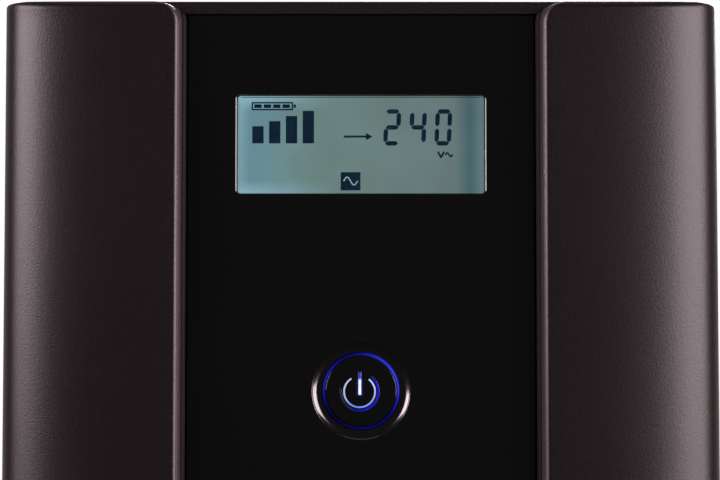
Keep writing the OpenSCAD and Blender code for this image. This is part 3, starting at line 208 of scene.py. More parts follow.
def add(tree, kind, inputs=None, out=None, **settings):
    """A node with its settings, and its inputs given constants or joined to sockets. Gives the output that is
    named, or else the node."""
    node = tree.nodes.new("ShaderNode" + kind)
    for key, value in settings.items():
        setattr(node, key, value)
    for key, value in (inputs or {}).items():
        if isinstance(value, bpy.types.NodeSocket):
            tree.links.new(value, node.inputs[key])
        else:
            node.inputs[key].default_value = value
    return node if out is None else node.outputs[out]


def start(name):
    """A new material with an empty tree, and the object coordinates that its pattern reads."""
    mat = bpy.data.materials.new(name)
    mat.use_nodes = True
    tree = mat.node_tree
    tree.nodes.clear()
    return mat, tree, add(tree, "TexCoord", out="Object")


def surfaced(mat, inputs):
    """The material closed with one principled surface that has these inputs."""
    surface = add(mat.node_tree, "BsdfPrincipled", inputs, "BSDF")
    add(mat.node_tree, "OutputMaterial", {"Surface": surface})
    return mat


def two_tone(tree, fac, first, second, lo=0.3, hi=0.7):
    """A colour that runs from first to second as fac goes from lo to hi."""
    share = add(tree, "MapRange", {"Value": fac, "From Min": lo, "From Max": hi}, "Result")
    return add(tree, "Mix", {0: share, 6: rgb(first), 7: rgb(second)}, 2, data_type="RGBA")


def grained(tree, place, dark, light, rough, grain_mm, depth_mm, tone_mm=6.0, metal=0.0, spec=0.5):
    """Inputs of a common surface: two tones in soft patches, and a grain in its height and gloss."""
    tone = add(tree, "TexNoise", {"Vector": place, "Scale": PER_MM / tone_mm, "Detail": 3.0}, "Fac")
    grain = add(tree, "TexNoise", {"Vector": place, "Scale": PER_MM / grain_mm, "Roughness": 0.6}, "Fac")
    gloss = add(tree, "MapRange", {"Value": grain, "From Min": 0.3, "From Max": 0.7, "To Min": rough * 0.9,
                                   "To Max": rough * 1.1}, "Result")
    relief = add(tree, "Bump", {"Height": grain, "Distance": depth_mm * MM, "Strength": 1.0}, "Normal")
    return {"Base Color": two_tone(tree, tone, dark, light), "Roughness": gloss, "Normal": relief,
            "Metallic": metal, "Specular IOR Level": spec}


def finish_of(name, *look, **more):
    """A material of the common build, from what grained() takes."""
    mat, tree, place = start(name)
    return surfaced(mat, grained(tree, place, *look, **more))


def textured_black_plastic():
    """Warm black moulding whose spark-eroded grain mottles the highlight, drawn coarse so that it shows."""
    return finish_of("textured_black_plastic", "0c0809", "0f0b0c", 0.345, 0.36, 0.032, 30.0, spec=0.29)


def wall_plastic_with_painted_light():
    """The wing's inner wall and its edge, drawn smoother by the tool, and painted a little paler to stand for
    the side light that falls on the wall.
    """
    return finish_of("wall_plastic_with_painted_light", "332a2c", "372d2f", 0.34, 0.5, 0.008, 30.0, spec=0.27)


def shaded_black_plastic():
    """The same moulding in the narrow hollow beside the panel, dull and dark."""
    return finish_of("shaded_black_plastic", "141011", "171314", 0.5, 0.5, 0.01, 30.0, spec=0.05)


def satin_black_plastic():
    """Polished black plastic where it dips round the button, a little softer than the flat."""
    return finish_of("satin_black_plastic", "050404", "060505", 0.17, 14.0, 0.004, 40.0, spec=0.8)


def piano_black_plastic():
    """Polished black plastic: near black, a sharp mirror with the faintest waviness."""
    return finish_of("piano_black_plastic", "050505", "060606", 0.055, 14.0, 0.004, 40.0, spec=0.8)


def black_moulding():
    """Plain black moulded plastic of sockets, fan and holders, half matt."""
    return finish_of("black_moulding", "141414", "181818", 0.42, 0.4, 0.006)


def pale_moulding():
    """Off-white moulded plastic of the switch plunger."""
    return finish_of("pale_moulding", "cfcbbf", "d8d5ca", 0.45, 0.4, 0.004)


def painted_steel():
    """Black powder coat on sheet steel: half matt orange peel, drawn a little coarse so that it shows."""
    return finish_of("painted_steel", "151516", "1a1a1b", 0.44, 1.1, 0.045, 20.0)


def galvanised_steel():
    """Zinc coated sheet with soft pale patches."""
    return finish_of("galvanised_steel", "85898c", "a3a6a8", 0.38, 2.0, 0.004, 9.0, 1.0)


def bright_zinc():
    """Bright zinc plate on screws and nuts."""
    return finish_of("bright_zinc", "b4b6b6", "cfd0d0", 0.28, 0.6, 0.004, 3.0, 1.0)


def plated_port(name, node, half_w, half_h):
    """Tinned steel shell round a black moulded insert: bright outside the mouth's half sizes, dull inside."""
    mat, tree, place = start(name)
    low, high = mm_box(node)
    scale = (1 / half_w / MM, 0, 1 / half_h / MM)
    off = add(tree, "VectorMath", {0: place, 1: (low + high) / 2 * MM}, 0, operation="SUBTRACT")
    off = add(tree, "VectorMath", {0: off}, 0, operation="ABSOLUTE")
    off = add(tree, "VectorMath", {0: off, 1: scale}, 0, operation="MULTIPLY")
    axes = add(tree, "SeparateXYZ", {0: off})
    far = add(tree, "Math", {0: axes.outputs["X"], 1: axes.outputs["Z"]}, 0, operation="MAXIMUM")
    shell = add(tree, "Math", {0: far, 1: 1.0}, 0, operation="GREATER_THAN")
    cloud = add(tree, "TexNoise", {"Vector": place, "Scale": PER_MM / 3.0}, "Fac")
    plate = two_tone(tree, cloud, "b4b6b6", "cfd0d0")
    grain = add(tree, "TexNoise", {"Vector": place, "Scale": PER_MM / 0.6}, "Fac")
    return surfaced(mat, {
        "Base Color": add(tree, "Mix", {0: shell, 6: rgb("151515"), 7: plate}, 2, data_type="RGBA"),
        "Metallic": shell,
        "Roughness": add(tree, "MapRange", {"Value": shell, "To Min": 0.45, "To Max": 0.27}, "Result"),
        "Normal": add(tree, "Bump", {"Height": grain, "Distance": 0.004 * MM, "Strength": 1.0}, "Normal"),
    })


def black_oxide():
    """Black oxide on the case screws, a dull dark metal."""
    return finish_of("black_oxide", "1c1c1d", "262627", 0.38, 0.5, 0.004, 2.0, 0.6)


def foot_rubber():
    """Matt black rubber with a dusty bloom."""
    return finish_of("foot_rubber", "121212", "1b1b1a", 0.75, 0.5, 0.02, 4.0, spec=0.3)


def battery_plastic():
    """Dark grey moulded battery case."""
    return finish_of("battery_plastic", "2d3034", "34373b", 0.5, 0.8, 0.015)


def tinned_brass():
    """Tinned brass of tabs, pins and standoffs."""
    return finish_of("tinned_brass", "b5a988", "c9c0a4", 0.3, 0.8, 0.004, 3.0, 1.0)


def black_cable():
    """Soft black cable sheath."""
    return finish_of("black_cable", "111111", "171717", 0.55, 0.6, 0.01)


def red_cable():
    """Soft red cable sheath."""
    return finish_of("red_cable", "8f1412", "a01a17", 0.5, 0.6, 0.01)


def banded(name, pitch_mm, along, uneven, dark, light, depth_mm, rough, metal=0.0):
    """A material of ribs: bands of two tones across one axis, one at each pitch, that also rise; the low part
    of each band takes the dark tone, painted shade in the grooves.
    """
    mat, tree, place = start(name)
    scale = PER_MM / pitch_mm / 20 * math.pi
    wave = add(tree, "TexWave", {"Vector": place, "Scale": scale, "Distortion": uneven}, "Fac",
               wave_type="BANDS", bands_direction=along)
    return surfaced(mat, {
        # dark tone in the low part of each band: painted shade in the grooves between ribs, turns and sheets
        "Base Color": two_tone(tree, wave, dark, light, 0.0, 1.0),
        "Normal": add(tree, "Bump", {"Height": wave, "Distance": depth_mm * MM, "Strength": 1.0}, "Normal"),
        "Roughness": rough,
        "Metallic": metal,
    })


def ribbon_sheath():
    """Grey ribbon cable with a rib over each wire."""
    return banded("ribbon_sheath", 1.27, "X", 0.0, "6a6a6d", "8d8d90", 0.3, 0.5)


def lamination_steel():
    """Varnished steel laminations, seen as fine lines across the stack: the joints between sheets, darkened
    with painted shade as well.
    """
    return banded("lamination_steel", 1.0, "Y", 0.4, "3a3a3d", "55565a", 0.1, 0.42, 0.8)


def copper_winding():
    """Enamelled copper wire laid turn by turn."""
    return banded("copper_winding", 1.6, "Z", 0.6, "6b3213", "b4652c", 0.4, 0.3, 0.9)


def extruded_aluminium():
    """Plain extruded aluminium with faint drawing lines."""
    return finish_of("extruded_aluminium", "b9bcc0", "cdd0d3", 0.32, 1.0, 0.006, 5.0, 1.0)


def capacitor_sleeve():
    """Dark blue shrunk sleeve."""
    return finish_of("capacitor_sleeve", "141a2c", "182036", 0.3, 1.5, 0.01)


def relay_plastic():
    """Blue moulded relay case."""
    return finish_of("relay_plastic", "14245c", "182a68", 0.35, 1.0, 0.006)


def circuit_board():
    """Green solder mask with lighter copper areas under it, in cells about 6 mm wide."""
    mat, tree, place = start("circuit_board")
    cells = add(tree, "TexVoronoi", {"Vector": place, "Scale": PER_MM / 6.0}, "Distance",
                distance="CHEBYCHEV")
    return surfaced(mat, {
        "Base Color": two_tone(tree, cells, "1d5b34", "123f24", 0.35, 0.45),
        "Normal": add(tree, "Bump", {"Height": cells, "Distance": 0.04 * MM, "Strength": 1.0}, "Normal"),
        "Roughness": 0.35,
    })


def white_diffuser():
    """White backlight diffuser behind the display glass."""
    return finish_of("white_diffuser", "d5dcd9", "e2e8e5", 0.6, 0.5, 0.004)


def clear_lens():
    """Clear moulded lens: nearly all light passes, a thin mirror on its faces."""
    mat, tree, place = start("clear_lens")
    ripple = add(tree, "TexNoise", {"Vector": place, "Scale": PER_MM / 9.0, "Detail": 1.0}, "Fac")
    return surfaced(mat, {
        "Base Color": rgb("f6fafa"),
        "Roughness": add(tree, "MapRange", {"Value": ripple, "From Min": 0.3, "From Max": 0.7, "To Min": 0.02,
                                            "To Max": 0.04}, "Result"),
        "Normal": add(tree, "Bump", {"Height": ripple, "Distance": 0.002 * MM, "Strength": 1.0}, "Normal"),
        "Transmission Weight": 1.0,
        "IOR": 1.2,
    })


def lit_display():
    """Backlit display glass: cool at the left by the lamp, grey-green in the middle, with a dim band near the
    right. Its upper and lower rims are brighter by the lamp, and it is dark where the frame covers it."""
    mat, tree, place = start("lit_display")
    axes = add(tree, "SeparateXYZ", {"Vector": place})
    right = axes.outputs["X"]
    up = add(tree, "Math", {0: axes.outputs["Z"], 1: WIN_Z * MM}, 0, operation="SUBTRACT")
    off_x = add(tree, "Math", {0: right}, 0, operation="ABSOLUTE")
    off_z = add(tree, "Math", {0: up}, 0, operation="ABSOLUTE")
    edge = WIN_X * MM
    across = add(tree, "MapRange", {"Value": right, "From Min": -edge, "From Max": edge}, "Result")
    bands = add(tree, "ValToRGB", {"Fac": across})
    stops = [(0.0, "84acb7"), (0.05, "6b929d"), (0.3, "708a86"),
             (0.88, "697b7a"), (0.94, "49656b"), (1.0, "688487")]
    points = bands.color_ramp.elements
    while len(points) < len(stops):
        points.new(0.5)
    for point, (at, code) in zip(points, stops):
        point.position = at
        point.color = rgb(code)
    cloud = add(tree, "TexNoise", {"Vector": place, "Scale": PER_MM / 11.0}, "Fac")
    cloud = two_tone(tree, cloud, "f0f0f0", "ffffff")
    glow = add(tree, "Mix", {0: 1.0, 6: bands.outputs["Color"], 7: cloud}, 2,
               data_type="RGBA", blend_type="MULTIPLY")
    rim = add(tree, "MapRange", {"Value": off_z, "From Min": (WIN_H - 3.0) * MM,
                                 "From Max": (WIN_H - 0.3) * MM}, "Result")
    lamp = add(tree, "MapRange", {"Value": right, "From Min": (2.0 - WIN_X) * MM,
                                  "From Max": (21.0 - WIN_X) * MM, "To Min": 1.0, "To Max": 0.0}, "Result")
    rim = add(tree, "Math", {0: rim, 1: lamp}, 0, operation="MULTIPLY")
    unlit = 0.03
    sides = add(tree, "MapRange", {"Value": off_x, "From Min": (WIN_X - 0.45) * MM,
                                   "From Max": (WIN_X - 0.3) * MM, "To Min": 1.0, "To Max": unlit}, "Result")
    head = add(tree, "MapRange", {"Value": up, "From Min": (WIN_H - 0.28) * MM,
                                  "From Max": (WIN_H - 0.14) * MM, "To Min": 1.0, "To Max": unlit}, "Result")
    return surfaced(mat, {
        "Base Color": rgb("101413"),
        "Emission Color": add(tree, "Mix", {0: rim, 6: glow, 7: rgb("8cb2be")}, 2, data_type="RGBA"),
        "Emission Strength": add(tree, "Math", {0: sides, 1: head}, 0, operation="MULTIPLY"),
        "Specular IOR Level": 0.08,
        "Roughness": 0.4,
    })


def display_ink():
    """Dark navy of a driven display segment, with a little of the backlight leaking through."""
    mat, tree, place = start("display_ink")
    leak = add(tree, "TexNoise", {"Vector": place, "Scale": PER_MM / 3.0, "Detail": 1.0}, "Fac")
    return surfaced(mat, {
        "Base Color": rgb("02080d"),
        "Emission Color": two_tone(tree, leak, "061c2e", "0a2236"),
        "Emission Strength": 0.8,
        "Specular IOR Level": 0.05,
        "Roughness": 0.6,
    })


def pale_ink():
    """Pale line left clear in a dark square, where the backlight shows."""
    mat, tree, place = start("pale_ink")
    cloud = add(tree, "TexNoise", {"Vector": place, "Scale": PER_MM / 2.0, "Detail": 1.0}, "Fac")
    return surfaced(mat, {
        "Base Color": rgb("101413"),
        "Emission Color": two_tone(tree, cloud, "8fa9ad", "9db4b6"),
        "Emission Strength": 1.0,
    })


def about_button(tree, place):
    """Sockets for the distance right of, above and away from the button's middle, in metres."""
    axes = add(tree, "SeparateXYZ", {"Vector": place})
    up = add(tree, "Math", {0: axes.outputs["Z"], 1: BUTTON_Z * MM}, 0, operation="SUBTRACT")
    flat = add(tree, "CombineXYZ", {"X": axes.outputs["X"], "Y": up}, 0)
    away = add(tree, "VectorMath", {0: flat}, "Value", operation="LENGTH")
    return axes.outputs["X"], up, away


def lamps(tree, right, up, away, *lobes):
    """Light round the button: each lamp's lobe is strongest at an angle, falls off from there as a power of
    the cosine and has a weight, and the lobes add up."""
    level = 0.0
    for angle, sharp, weight in lobes:
        a = math.radians(angle)
        part = add(tree, "Math", {0: right, 1: math.cos(a)}, 0, operation="MULTIPLY")
        along = add(tree, "Math", {0: up, 1: math.sin(a), 2: part}, 0, operation="MULTIPLY_ADD")
        cosine = add(tree, "Math", {0: along, 1: away}, 0, operation="DIVIDE", use_clamp=True)
        peak = add(tree, "Math", {0: cosine, 1: sharp}, 0, operation="POWER")
        level = add(tree, "Math", {0: peak, 1: weight, 2: level}, 0, operation="MULTIPLY_ADD")
    return level


def patchy(tree, place, size_mm, level, low, high):
    """A light level made a little uneven in patches of a size, between low and high times itself."""
    cloud = add(tree, "TexNoise", {"Vector": place, "Scale": PER_MM / size_mm, "Detail": 1.0}, "Fac")
    share = add(tree, "MapRange", {"Value": cloud, "From Min": 0.3, "From Max": 0.7, "To Min": low,
                                   "To Max": high}, "Result")
    return add(tree, "Math", {0: share, 1: level}, 0, operation="MULTIPLY")


def lit_ring():
    """Frosted blue light ring, lit by lamps at its upper right, left and bottom, dark at the lower left."""
    mat, tree, place = start("lit_ring")
    right, up, away = about_button(tree, place)
    level = lamps(tree, right, up, away, (35, 2.2, 0.85), (163, 5.0, 0.36), (112, 2.0, 0.08),
                  (300, 1.5, 0.14))
    off = add(tree, "Math", {0: away, 1: RING_MID * MM}, 0, operation="SUBTRACT")
    off = add(tree, "Math", {0: off}, 0, operation="ABSOLUTE")
    fade = add(tree, "MapRange", {"Value": off, "From Min": 0.05 * MM, "From Max": 0.42 * MM, "To Min": 1.0,
                                  "To Max": 0.0}, "Result")
    strength = add(tree, "Math", {0: level, 1: fade}, 0, operation="MULTIPLY")
    return surfaced(mat, {
        "Base Color": rgb("060618"),
        "Emission Color": two_tone(tree, level, "0806d8", "3c40f4", 0.1, 0.9),
        "Emission Strength": patchy(tree, place, 4.0, strength, 0.9, 1.1),
        "Specular IOR Level": 0.1,
        "Roughness": 0.35,
    })


def lit_symbol():
    """White-blue light of the power symbol: near white in the bar, bluer at the bottom and the bar's top."""
    mat, tree, place = start("lit_symbol")
    right, up = about_button(tree, place)[:2]
    off = add(tree, "Math", {0: right}, 0, operation="ABSOLUTE")
    bar = add(tree, "MapRange", {"Value": off, "From Min": 0.9 * MM, "From Max": 1.0 * MM, "To Min": 1.0,
                                 "To Max": 0.0}, "Result")
    high = add(tree, "MapRange", {"Value": up, "From Min": -1.8 * MM, "From Max": -1.2 * MM}, "Result")
    top = add(tree, "MapRange", {"Value": up, "From Min": 2.0 * MM, "From Max": 2.6 * MM}, "Result")
    in_bar = add(tree, "Math", {0: high, 1: bar}, 0, operation="MULTIPLY")
    in_top = add(tree, "Math", {0: top, 1: bar}, 0, operation="MULTIPLY")
    ring = two_tone(tree, up, "7494ec", "bccdf6", -3.2 * MM, 0.8 * MM)
    body = add(tree, "Mix", {0: in_bar, 6: ring, 7: rgb("ebfaff")}, 2, data_type="RGBA")
    return surfaced(mat, {
        "Base Color": rgb("101018"),
        "Emission Color": add(tree, "Mix", {0: in_top, 6: body, 7: rgb("1e2cc4")}, 2, data_type="RGBA"),
        "Emission Strength": patchy(tree, place, 2.0, 1.0, 0.85, 1.15),
        "Roughness": 0.3,
    })


def lit_groove():
    """Blue glow on the side of the symbol's groove, strong at the right and the bottom, greyer at left."""
    mat, tree, place = start("lit_groove")
    right, up, away = about_button(tree, place)
    level = lamps(tree, right, up, away, (0, 1.2, 0.62), (275, 3.0, 0.3), (185, 8.0, 0.10))
    return surfaced(mat, {
        "Base Color": rgb("05050c"),
        "Emission Color": two_tone(tree, right, "7070a8", "1a20f0", -3.5 * MM, -1.5 * MM),
        "Emission Strength": patchy(tree, place, 2.0, level, 0.8, 1.1),
        "Roughness": 0.2,
    })


def lit_halo():
    """Faint blue light that leaks round the symbol's bar, gone half a millimetre from its edge."""
    mat, tree, place = start("lit_halo")
    off = add(tree, "Math", {0: about_button(tree, place)[0], 1: STEM_X * MM}, 0, operation="SUBTRACT")
    off = add(tree, "Math", {0: off}, 0, operation="ABSOLUTE")
    fade = add(tree, "MapRange", {"Value": off, "From Min": 0.25 * MM, "From Max": 0.78 * MM, "To Min": 0.42,
                                  "To Max": 0.0}, "Result")
    cloud = add(tree, "TexNoise", {"Vector": place, "Scale": PER_MM / 2.0}, "Fac")
    return surfaced(mat, {
        "Base Color": rgb("050505"),
        "Emission Color": two_tone(tree, cloud, "2c36b8", "323cc4"),
        "Emission Strength": fade,
        "Roughness": 0.055,
    })


def blue_lamp():
    """Blue light-emitting diodes behind the button."""
    mat, tree, place = start("blue_lamp")
    return surfaced(mat, {
        "Base Color": rgb("6070c0"),
        "Emission Color": rgb("4050ff"),
        "Emission Strength": patchy(tree, place, 1.0, 1.0, 0.6, 1.0),
        "Roughness": 0.2,
    })


WING = textured_black_plastic()
# inner walls: a paler copy of the moulding, with the side light painted in
WALL = wall_plastic_with_painted_light()
SHADED = shaded_black_plastic()
GLOSS = piano_black_plastic()
MOULDING = black_moulding()
PAINT = painted_steel()
ZINC = bright_zinc()
OXIDE = black_oxide()
LENS = clear_lens()
INK = display_ink()

by_slot = {
    "textured_black_plastic": WING, "piano_black_plastic": GLOSS, "clear_lens": LENS,
    "lcd_glass": lit_display(), "backlight_diffuser": white_diffuser(), "black_plastic": MOULDING,
    "circuit_board": circuit_board(), "light_guide": lit_ring(), "pale_plastic": pale_moulding(),
    "ribbon_grey": ribbon_sheath(), "galvanised_steel": galvanised_steel(), "black_painted_steel": PAINT,
    "rubber": foot_rubber(), "zinc_screws": ZINC, "black_screws": OXIDE, "battery_case": battery_plastic(),
    "tinned_brass": tinned_brass(), "black_cable": black_cable(), "red_cable": red_cable(),
    "lamination_steel": lamination_steel(), "copper_winding": copper_winding(),
    "aluminium": extruded_aluminium(), "capacitor_sleeve": capacitor_sleeve(), "relay_blue": relay_plastic(),
    "port_shell": ZINC,
}
by_node = {
    "usb_port": plated_port("usb_shell", "usb_port", 4.2, 3.85),
    "serial_port": plated_port("serial_shell", "serial_port", 8.25, 3.95),
    "button_leds": blue_lamp(),
}
for part in frame["record"]["subparts"]:
    mesh = nodes[part["node"]].data
    mesh.materials.clear()
    mesh.materials.append(by_node.get(part["node"], by_slot[part["material_slot"]]))


# Wings and middle frame of the front moulding

EDGE_R = 0.95
FRONT_RIM_R = 1.55
SIDE_RIM_R = 0.6
STRIP_R = 0.5
CORNER_R = 4.2
WING_EDGE_R = 1.15
WING_DROP = 0.6
CROWN_D = 4.3
CURVE_D = 12.0
FULLNESS = 3.0
SIDE_DRAFT = 0.2
DRAFT = 0.75
RISE = PANEL_Y - FRONT_Y
LEAST_R = 0.05
CROWN_SLACK = 0.02
CAP_X = 56.0
CAP_MID_Y = -180.0
WALL_POINTS = 16


def rim_inset(h, r):
    """How far a round rim of radius r draws in at a height h below its top."""
    h = np.minimum(h, r)
    return r - np.sqrt(np.maximum(r * r - (r - h) ** 2, 0))


def wing_section(h):
    """A wing's outline seen from above at a height h below its rim: the inner wall leans out to a round edge,
    and the front runs to the side along a full curve, |x|^n + |y|^n = 1 scaled to the wing. The rim draws it
    in, more at the front than at the side, and the inner corner moves outwards."""
    e = rim_inset(h, FRONT_RIM_R)
    es = rim_inset(h, SIDE_RIM_R)
    c = rim_inset(h, CORNER_R)
    over = max(e + LEAST_R - WING_EDGE_R, 0.0)
    lean = math.atan2(DRAFT, RISE)
    run = math.hypot(DRAFT, RISE)
    ex = RECESS_X + DRAFT * (1 - WING_EDGE_R / RISE * (1 - DRAFT / run)) + WING_EDGE_R * RISE / run + c + over
    foot = RECESS_X + c + e
    inner = np.array([[foot, BEZEL_BACK], [foot, PANEL_BACK], [foot, PANEL_Y + e]])
    edge_r = max(WING_EDGE_R - e, LEAST_R)
    edge = arc(ex, FRONT_Y + WING_EDGE_R + over, edge_r, 180 + math.degrees(lean), 270, 16)
    t = np.radians(np.linspace(0, 90, 72)[1:])
    curve = np.stack([ex + (SIDE_X - SIDE_DRAFT - es - ex) * np.sin(t) ** (2 / FULLNESS),
                      FRONT_Y + CURVE_D - (CURVE_D - e) * np.maximum(np.cos(t), 0) ** (2 / FULLNESS)], -1)
    back = np.array([[SIDE_X - es, BEZEL_BACK]])
    return np.concatenate([inner, edge, curve, back])


def wing(side, name):
    """A wing: its section carried up from the lower rim to the upper rim, which falls a little to the front.
    The first points of each section are the inner wall, which has its own material, painted paler for the
    side light on it."""
    heights = np.concatenate([FRONT_RIM_R * (1 - np.cos(np.radians(np.linspace(0, 90, 20)))),
                              FRONT_RIM_R + (CORNER_R - FRONT_RIM_R) * np.linspace(0, 1, 14)[1:]])
    low = [(BASE_Z + h, wing_section(h)) for h in heights]
    high = [(TOP_Z - WING_DROP - h, wing_section(h)) for h in heights[::-1]]
    rings = [np.stack([side * s[:, 0], s[:, 1], np.full(len(s), z)], -1) for z, s in low + high]
    for ring in rings[len(low):]:
        ring[:, 2] += (WING_DROP - CROWN_SLACK) * np.clip((ring[:, 1] - FRONT_Y) / CROWN_D, 0, 1)
    mid = [side * (RECESS_X + SIDE_X) / 2, (FRONT_Y + BEZEL_BACK) / 2, (TOP_Z + BASE_Z) / 2]
    patches = [patch(rings, wrap=(False, True), away=mid)]
    for ring, up in ((rings[0], -1), (rings[-1], 1)):
        centre = np.broadcast_to([side * CAP_X, CAP_MID_Y, ring[-1][2]], ring.shape)
        cap = [ring, (ring + centre) / 2, centre]
        patches.append(patch(cap, wrap=(False, True), out=(0, 0, up)))
    obj = piece(name, patches, WING, stands_for=("front_bezel",))
    # the inner wall's faces take the paler material with its painted light
    obj.data.materials.append(WALL)
    quads = patches[0][1]
    on_wall = np.zeros(len(obj.data.polygons), np.int32)
    on_wall[:len(quads)] = (quads % len(rings[0])).max(1) < WALL_POINTS
    obj.data.polygons.foreach_set("material_index", on_wall)
    return obj


wing(1, "bezel_wing_right")
wing(-1, "bezel_wing_left")


def bar(name, z0, z1, round_low, round_high):
    """A middle bar of the moulding: a rounded outline in Y and Z carried along X between the wings."""
    half = RECESS_X + CORNER_R + 1.0
    low, high = [[PANEL_Y, z0]], [[PANEL_Y, z1]]
    if round_low:
        low = arc(PANEL_Y + EDGE_R, z0 + EDGE_R, EDGE_R, 270, 180, 12)
    if round_high:
        high = arc(PANEL_Y + STRIP_R, z1 - STRIP_R, STRIP_R, 180, 90, 12)
    outline = np.concatenate([low, high, [[BEZEL_BACK, z1], [BEZEL_BACK, z0]]])
    ends = [np.stack([np.full(len(outline), x), outline[:, 0], outline[:, 1]], -1) for x in (-half, half)]
    mid = [0, (PANEL_Y + BEZEL_BACK) / 2, (z0 + z1) / 2]
    obj = piece(name, [patch(ends, wrap=(False, True), away=mid)], WING,
                stands_for=("front_bezel",))
    obj.data.set_sharp_from_angle(angle=math.radians(40))
    return obj


bar("bezel_strip", PANEL_TOP + GAP, TOP_Z, False, True)
bar("bezel_sill", BASE_Z + WING_DROP, PANEL_BASE - GAP, True, False)


def panel_seat():
    """What shows beside the panel: flat ledges behind its edges, and a hollow quarter round at each wing's
    foot, carried up to the strip, where it follows the wing's corner outwards."""
    wall_top = TOP_Z - WING_DROP + (WING_DROP - CROWN_SLACK) * min(RISE / CROWN_D, 1)
    below = np.linspace(CORNER_R, wall_top - PANEL_TOP - GAP, 10)
    z = np.concatenate([[BASE_Z + CORNER_R], wall_top - below])
    shift = np.concatenate([[0.0], [rim_inset(h, CORNER_R) for h in below]])
    hollow = arc(RECESS_X - RIM, PANEL_Y - RIM, RIM, 0, 90, 10)
    profile = np.concatenate([[(RECESS_X + 0.05, PANEL_Y - RIM)], hollow, [(RECESS_X - RIM, PANEL_BACK)]])
    x = profile[:, 0] + shift[:, None]
    y = np.broadcast_to(profile[:, 1], x.shape)
    z = np.broadcast_to(z[:, None], x.shape)
    ledges, rims = [], []
    for side in (-1, 1):
        x0, x1 = sorted((side * (PANEL_X - 3.0), side * (RECESS_X + 0.6)))
        ledges += box_patches((x0, PANEL_BACK, PANEL_BASE - GAP), (x1, PANEL_BACK + 2, PANEL_TOP + GAP))
        rims.append(patch(np.stack([side * x, y, z], -1), out=(-side, -1, 0)))
    piece("bezel_ledges", ledges, WING, stands_for=("front_bezel",), smooth=False)
    piece("bezel_rims", rims, SHADED, stands_for=("front_bezel",))


panel_seat()


# Glossy panel with the display opening and the button's dish

def glossy_panel():
    """The panel: flat front pieces that meet round the opening and the dish, a bevelled rim, the opening's
    frame, which slopes and then rounds inwards, and a shallow dish turned about the button."""
    bevel = 0.35
    flat_x = PANEL_X - bevel
    top, base = PANEL_TOP - bevel, PANEL_BASE + bevel
    split_hi, split_lo = 166.0, 116.0
    slope_w, corner = 1.5, 0.8
    patches = []
    zc = (top + split_hi) / 2
    outer = frame_loop(flat_x, (top - split_hi) / 2, WIN_X + slope_w, WIN_H + slope_w, corner + slope_w)
    inner = round_loop(WIN_X + slope_w, WIN_H + slope_w, corner + slope_w)
    patches.append(patch([lift(outer, PANEL_Y, 0, zc), lift(inner, PANEL_Y, 0, WIN_Z)], wrap=(False, True)))
    round_w, round_d, round_r = 0.29, 0.19, 0.35
    turn = np.radians(np.linspace(9, 84, 28))
    steps = np.stack([round_w + round_r * (math.sin(turn[0]) - np.sin(turn)),
                      round_d + round_r * (math.cos(turn[0]) - np.cos(turn))], -1)
    steps = np.concatenate([[(slope_w, 0.0)], steps])
    loops = [lift(round_loop(WIN_X + w, WIN_H + w, corner + w), PANEL_Y + d, 0, WIN_Z) for w, d in steps]
    patches.append(patch(loops, wrap=(False, True)))
    throat = round_loop(WIN_X, WIN_H, corner)
    piece("window_throat", [inward([loops[-1], lift(throat, PANEL_BACK, 0, WIN_Z)], WIN_Z)], SHADED,
          stands_for=("front_panel",))
    dish = dish_profile()
    lip = dish[0, 0]
    zc = (split_hi + split_lo) / 2
    ring = round_loop(lip, lip, lip, 33)
    outer = frame_loop(flat_x, (split_hi - split_lo) / 2, lip, lip, lip, 33)
    patches.append(patch([lift(outer, PANEL_Y, 0, zc), lift(ring, PANEL_Y, 0, BUTTON_Z)], wrap=(False, True)))
    piece("panel_dish", [patch(turned(dish, 0, BUTTON_Z, 256), wrap=(True, False))], satin_black_plastic(),
          stands_for=("front_panel",))
    sleeve = [dish[-1], (SLEEVE_R, PANEL_BACK + 2.0)]
    patches.append(inward(turned(sleeve, 0, BUTTON_Z, 96), BUTTON_Z, (True, False)))
    patches.append(patch([[(-flat_x, PANEL_Y, base), (flat_x, PANEL_Y, base)],
                          [(-flat_x, PANEL_Y, split_lo), (flat_x, PANEL_Y, split_lo)]]))
    zc = (PANEL_TOP + PANEL_BASE) / 2
    half = (PANEL_TOP - PANEL_BASE) / 2
    mid = (0, PANEL_Y + 1.2, zc)
    rims = [(flat_x, half - bevel, PANEL_Y), (PANEL_X, half, PANEL_Y + bevel), (PANEL_X, half, PANEL_BACK)]
    loops = [lift(np.array([(w, h), (-w, h), (-w, -h), (w, -h)]), y, 0, zc) for w, h, y in rims]
    for a, b in zip(loops, loops[1:]):
        for k in range(4):
            m = (k + 1) % 4
            patches.append(patch([[a[k], a[m]], [b[k], b[m]]], away=mid))
    return piece("panel_front", patches, GLOSS, stands_for=("front_panel",))


def dish_profile():
    """The dish from the panel's flat to the sleeve, as (radius, y): round lip, hollow curve, flat floor."""
    mid_r = DISH_R - DISH_ARC_R * math.sin(DISH_SLOPE)
    mid_y = PANEL_Y - DISH_ARC_R * math.cos(DISH_SLOPE)
    meet = math.acos((PANEL_Y + LIP_R - mid_y) / (DISH_ARC_R + LIP_R))
    lip_r = mid_r + (DISH_ARC_R + LIP_R) * math.sin(meet)
    turn = np.linspace(0, meet, 12)
    lip = np.stack([lip_r - LIP_R * np.sin(turn), PANEL_Y + LIP_R - LIP_R * np.cos(turn)], -1)
    turn = np.linspace(meet, 0, 40)[1:]
    hollow = np.stack([mid_r + DISH_ARC_R * np.sin(turn), mid_y + DISH_ARC_R * np.cos(turn)], -1)
    return np.concatenate([lip, hollow, [(SLEEVE_R, mid_y + DISH_ARC_R)]])


def inward(points, z, wrap=(False, True)):
    """A patch whose faces look towards the line along Y at height z."""
    flat, faces = patch(points, wrap, away=(0, PANEL_Y, z))
    return flat, faces[:, ::-1]


glossy_panel()


# Display: a clear lens with a chamfered boss in the opening, and the driven segments on the glass

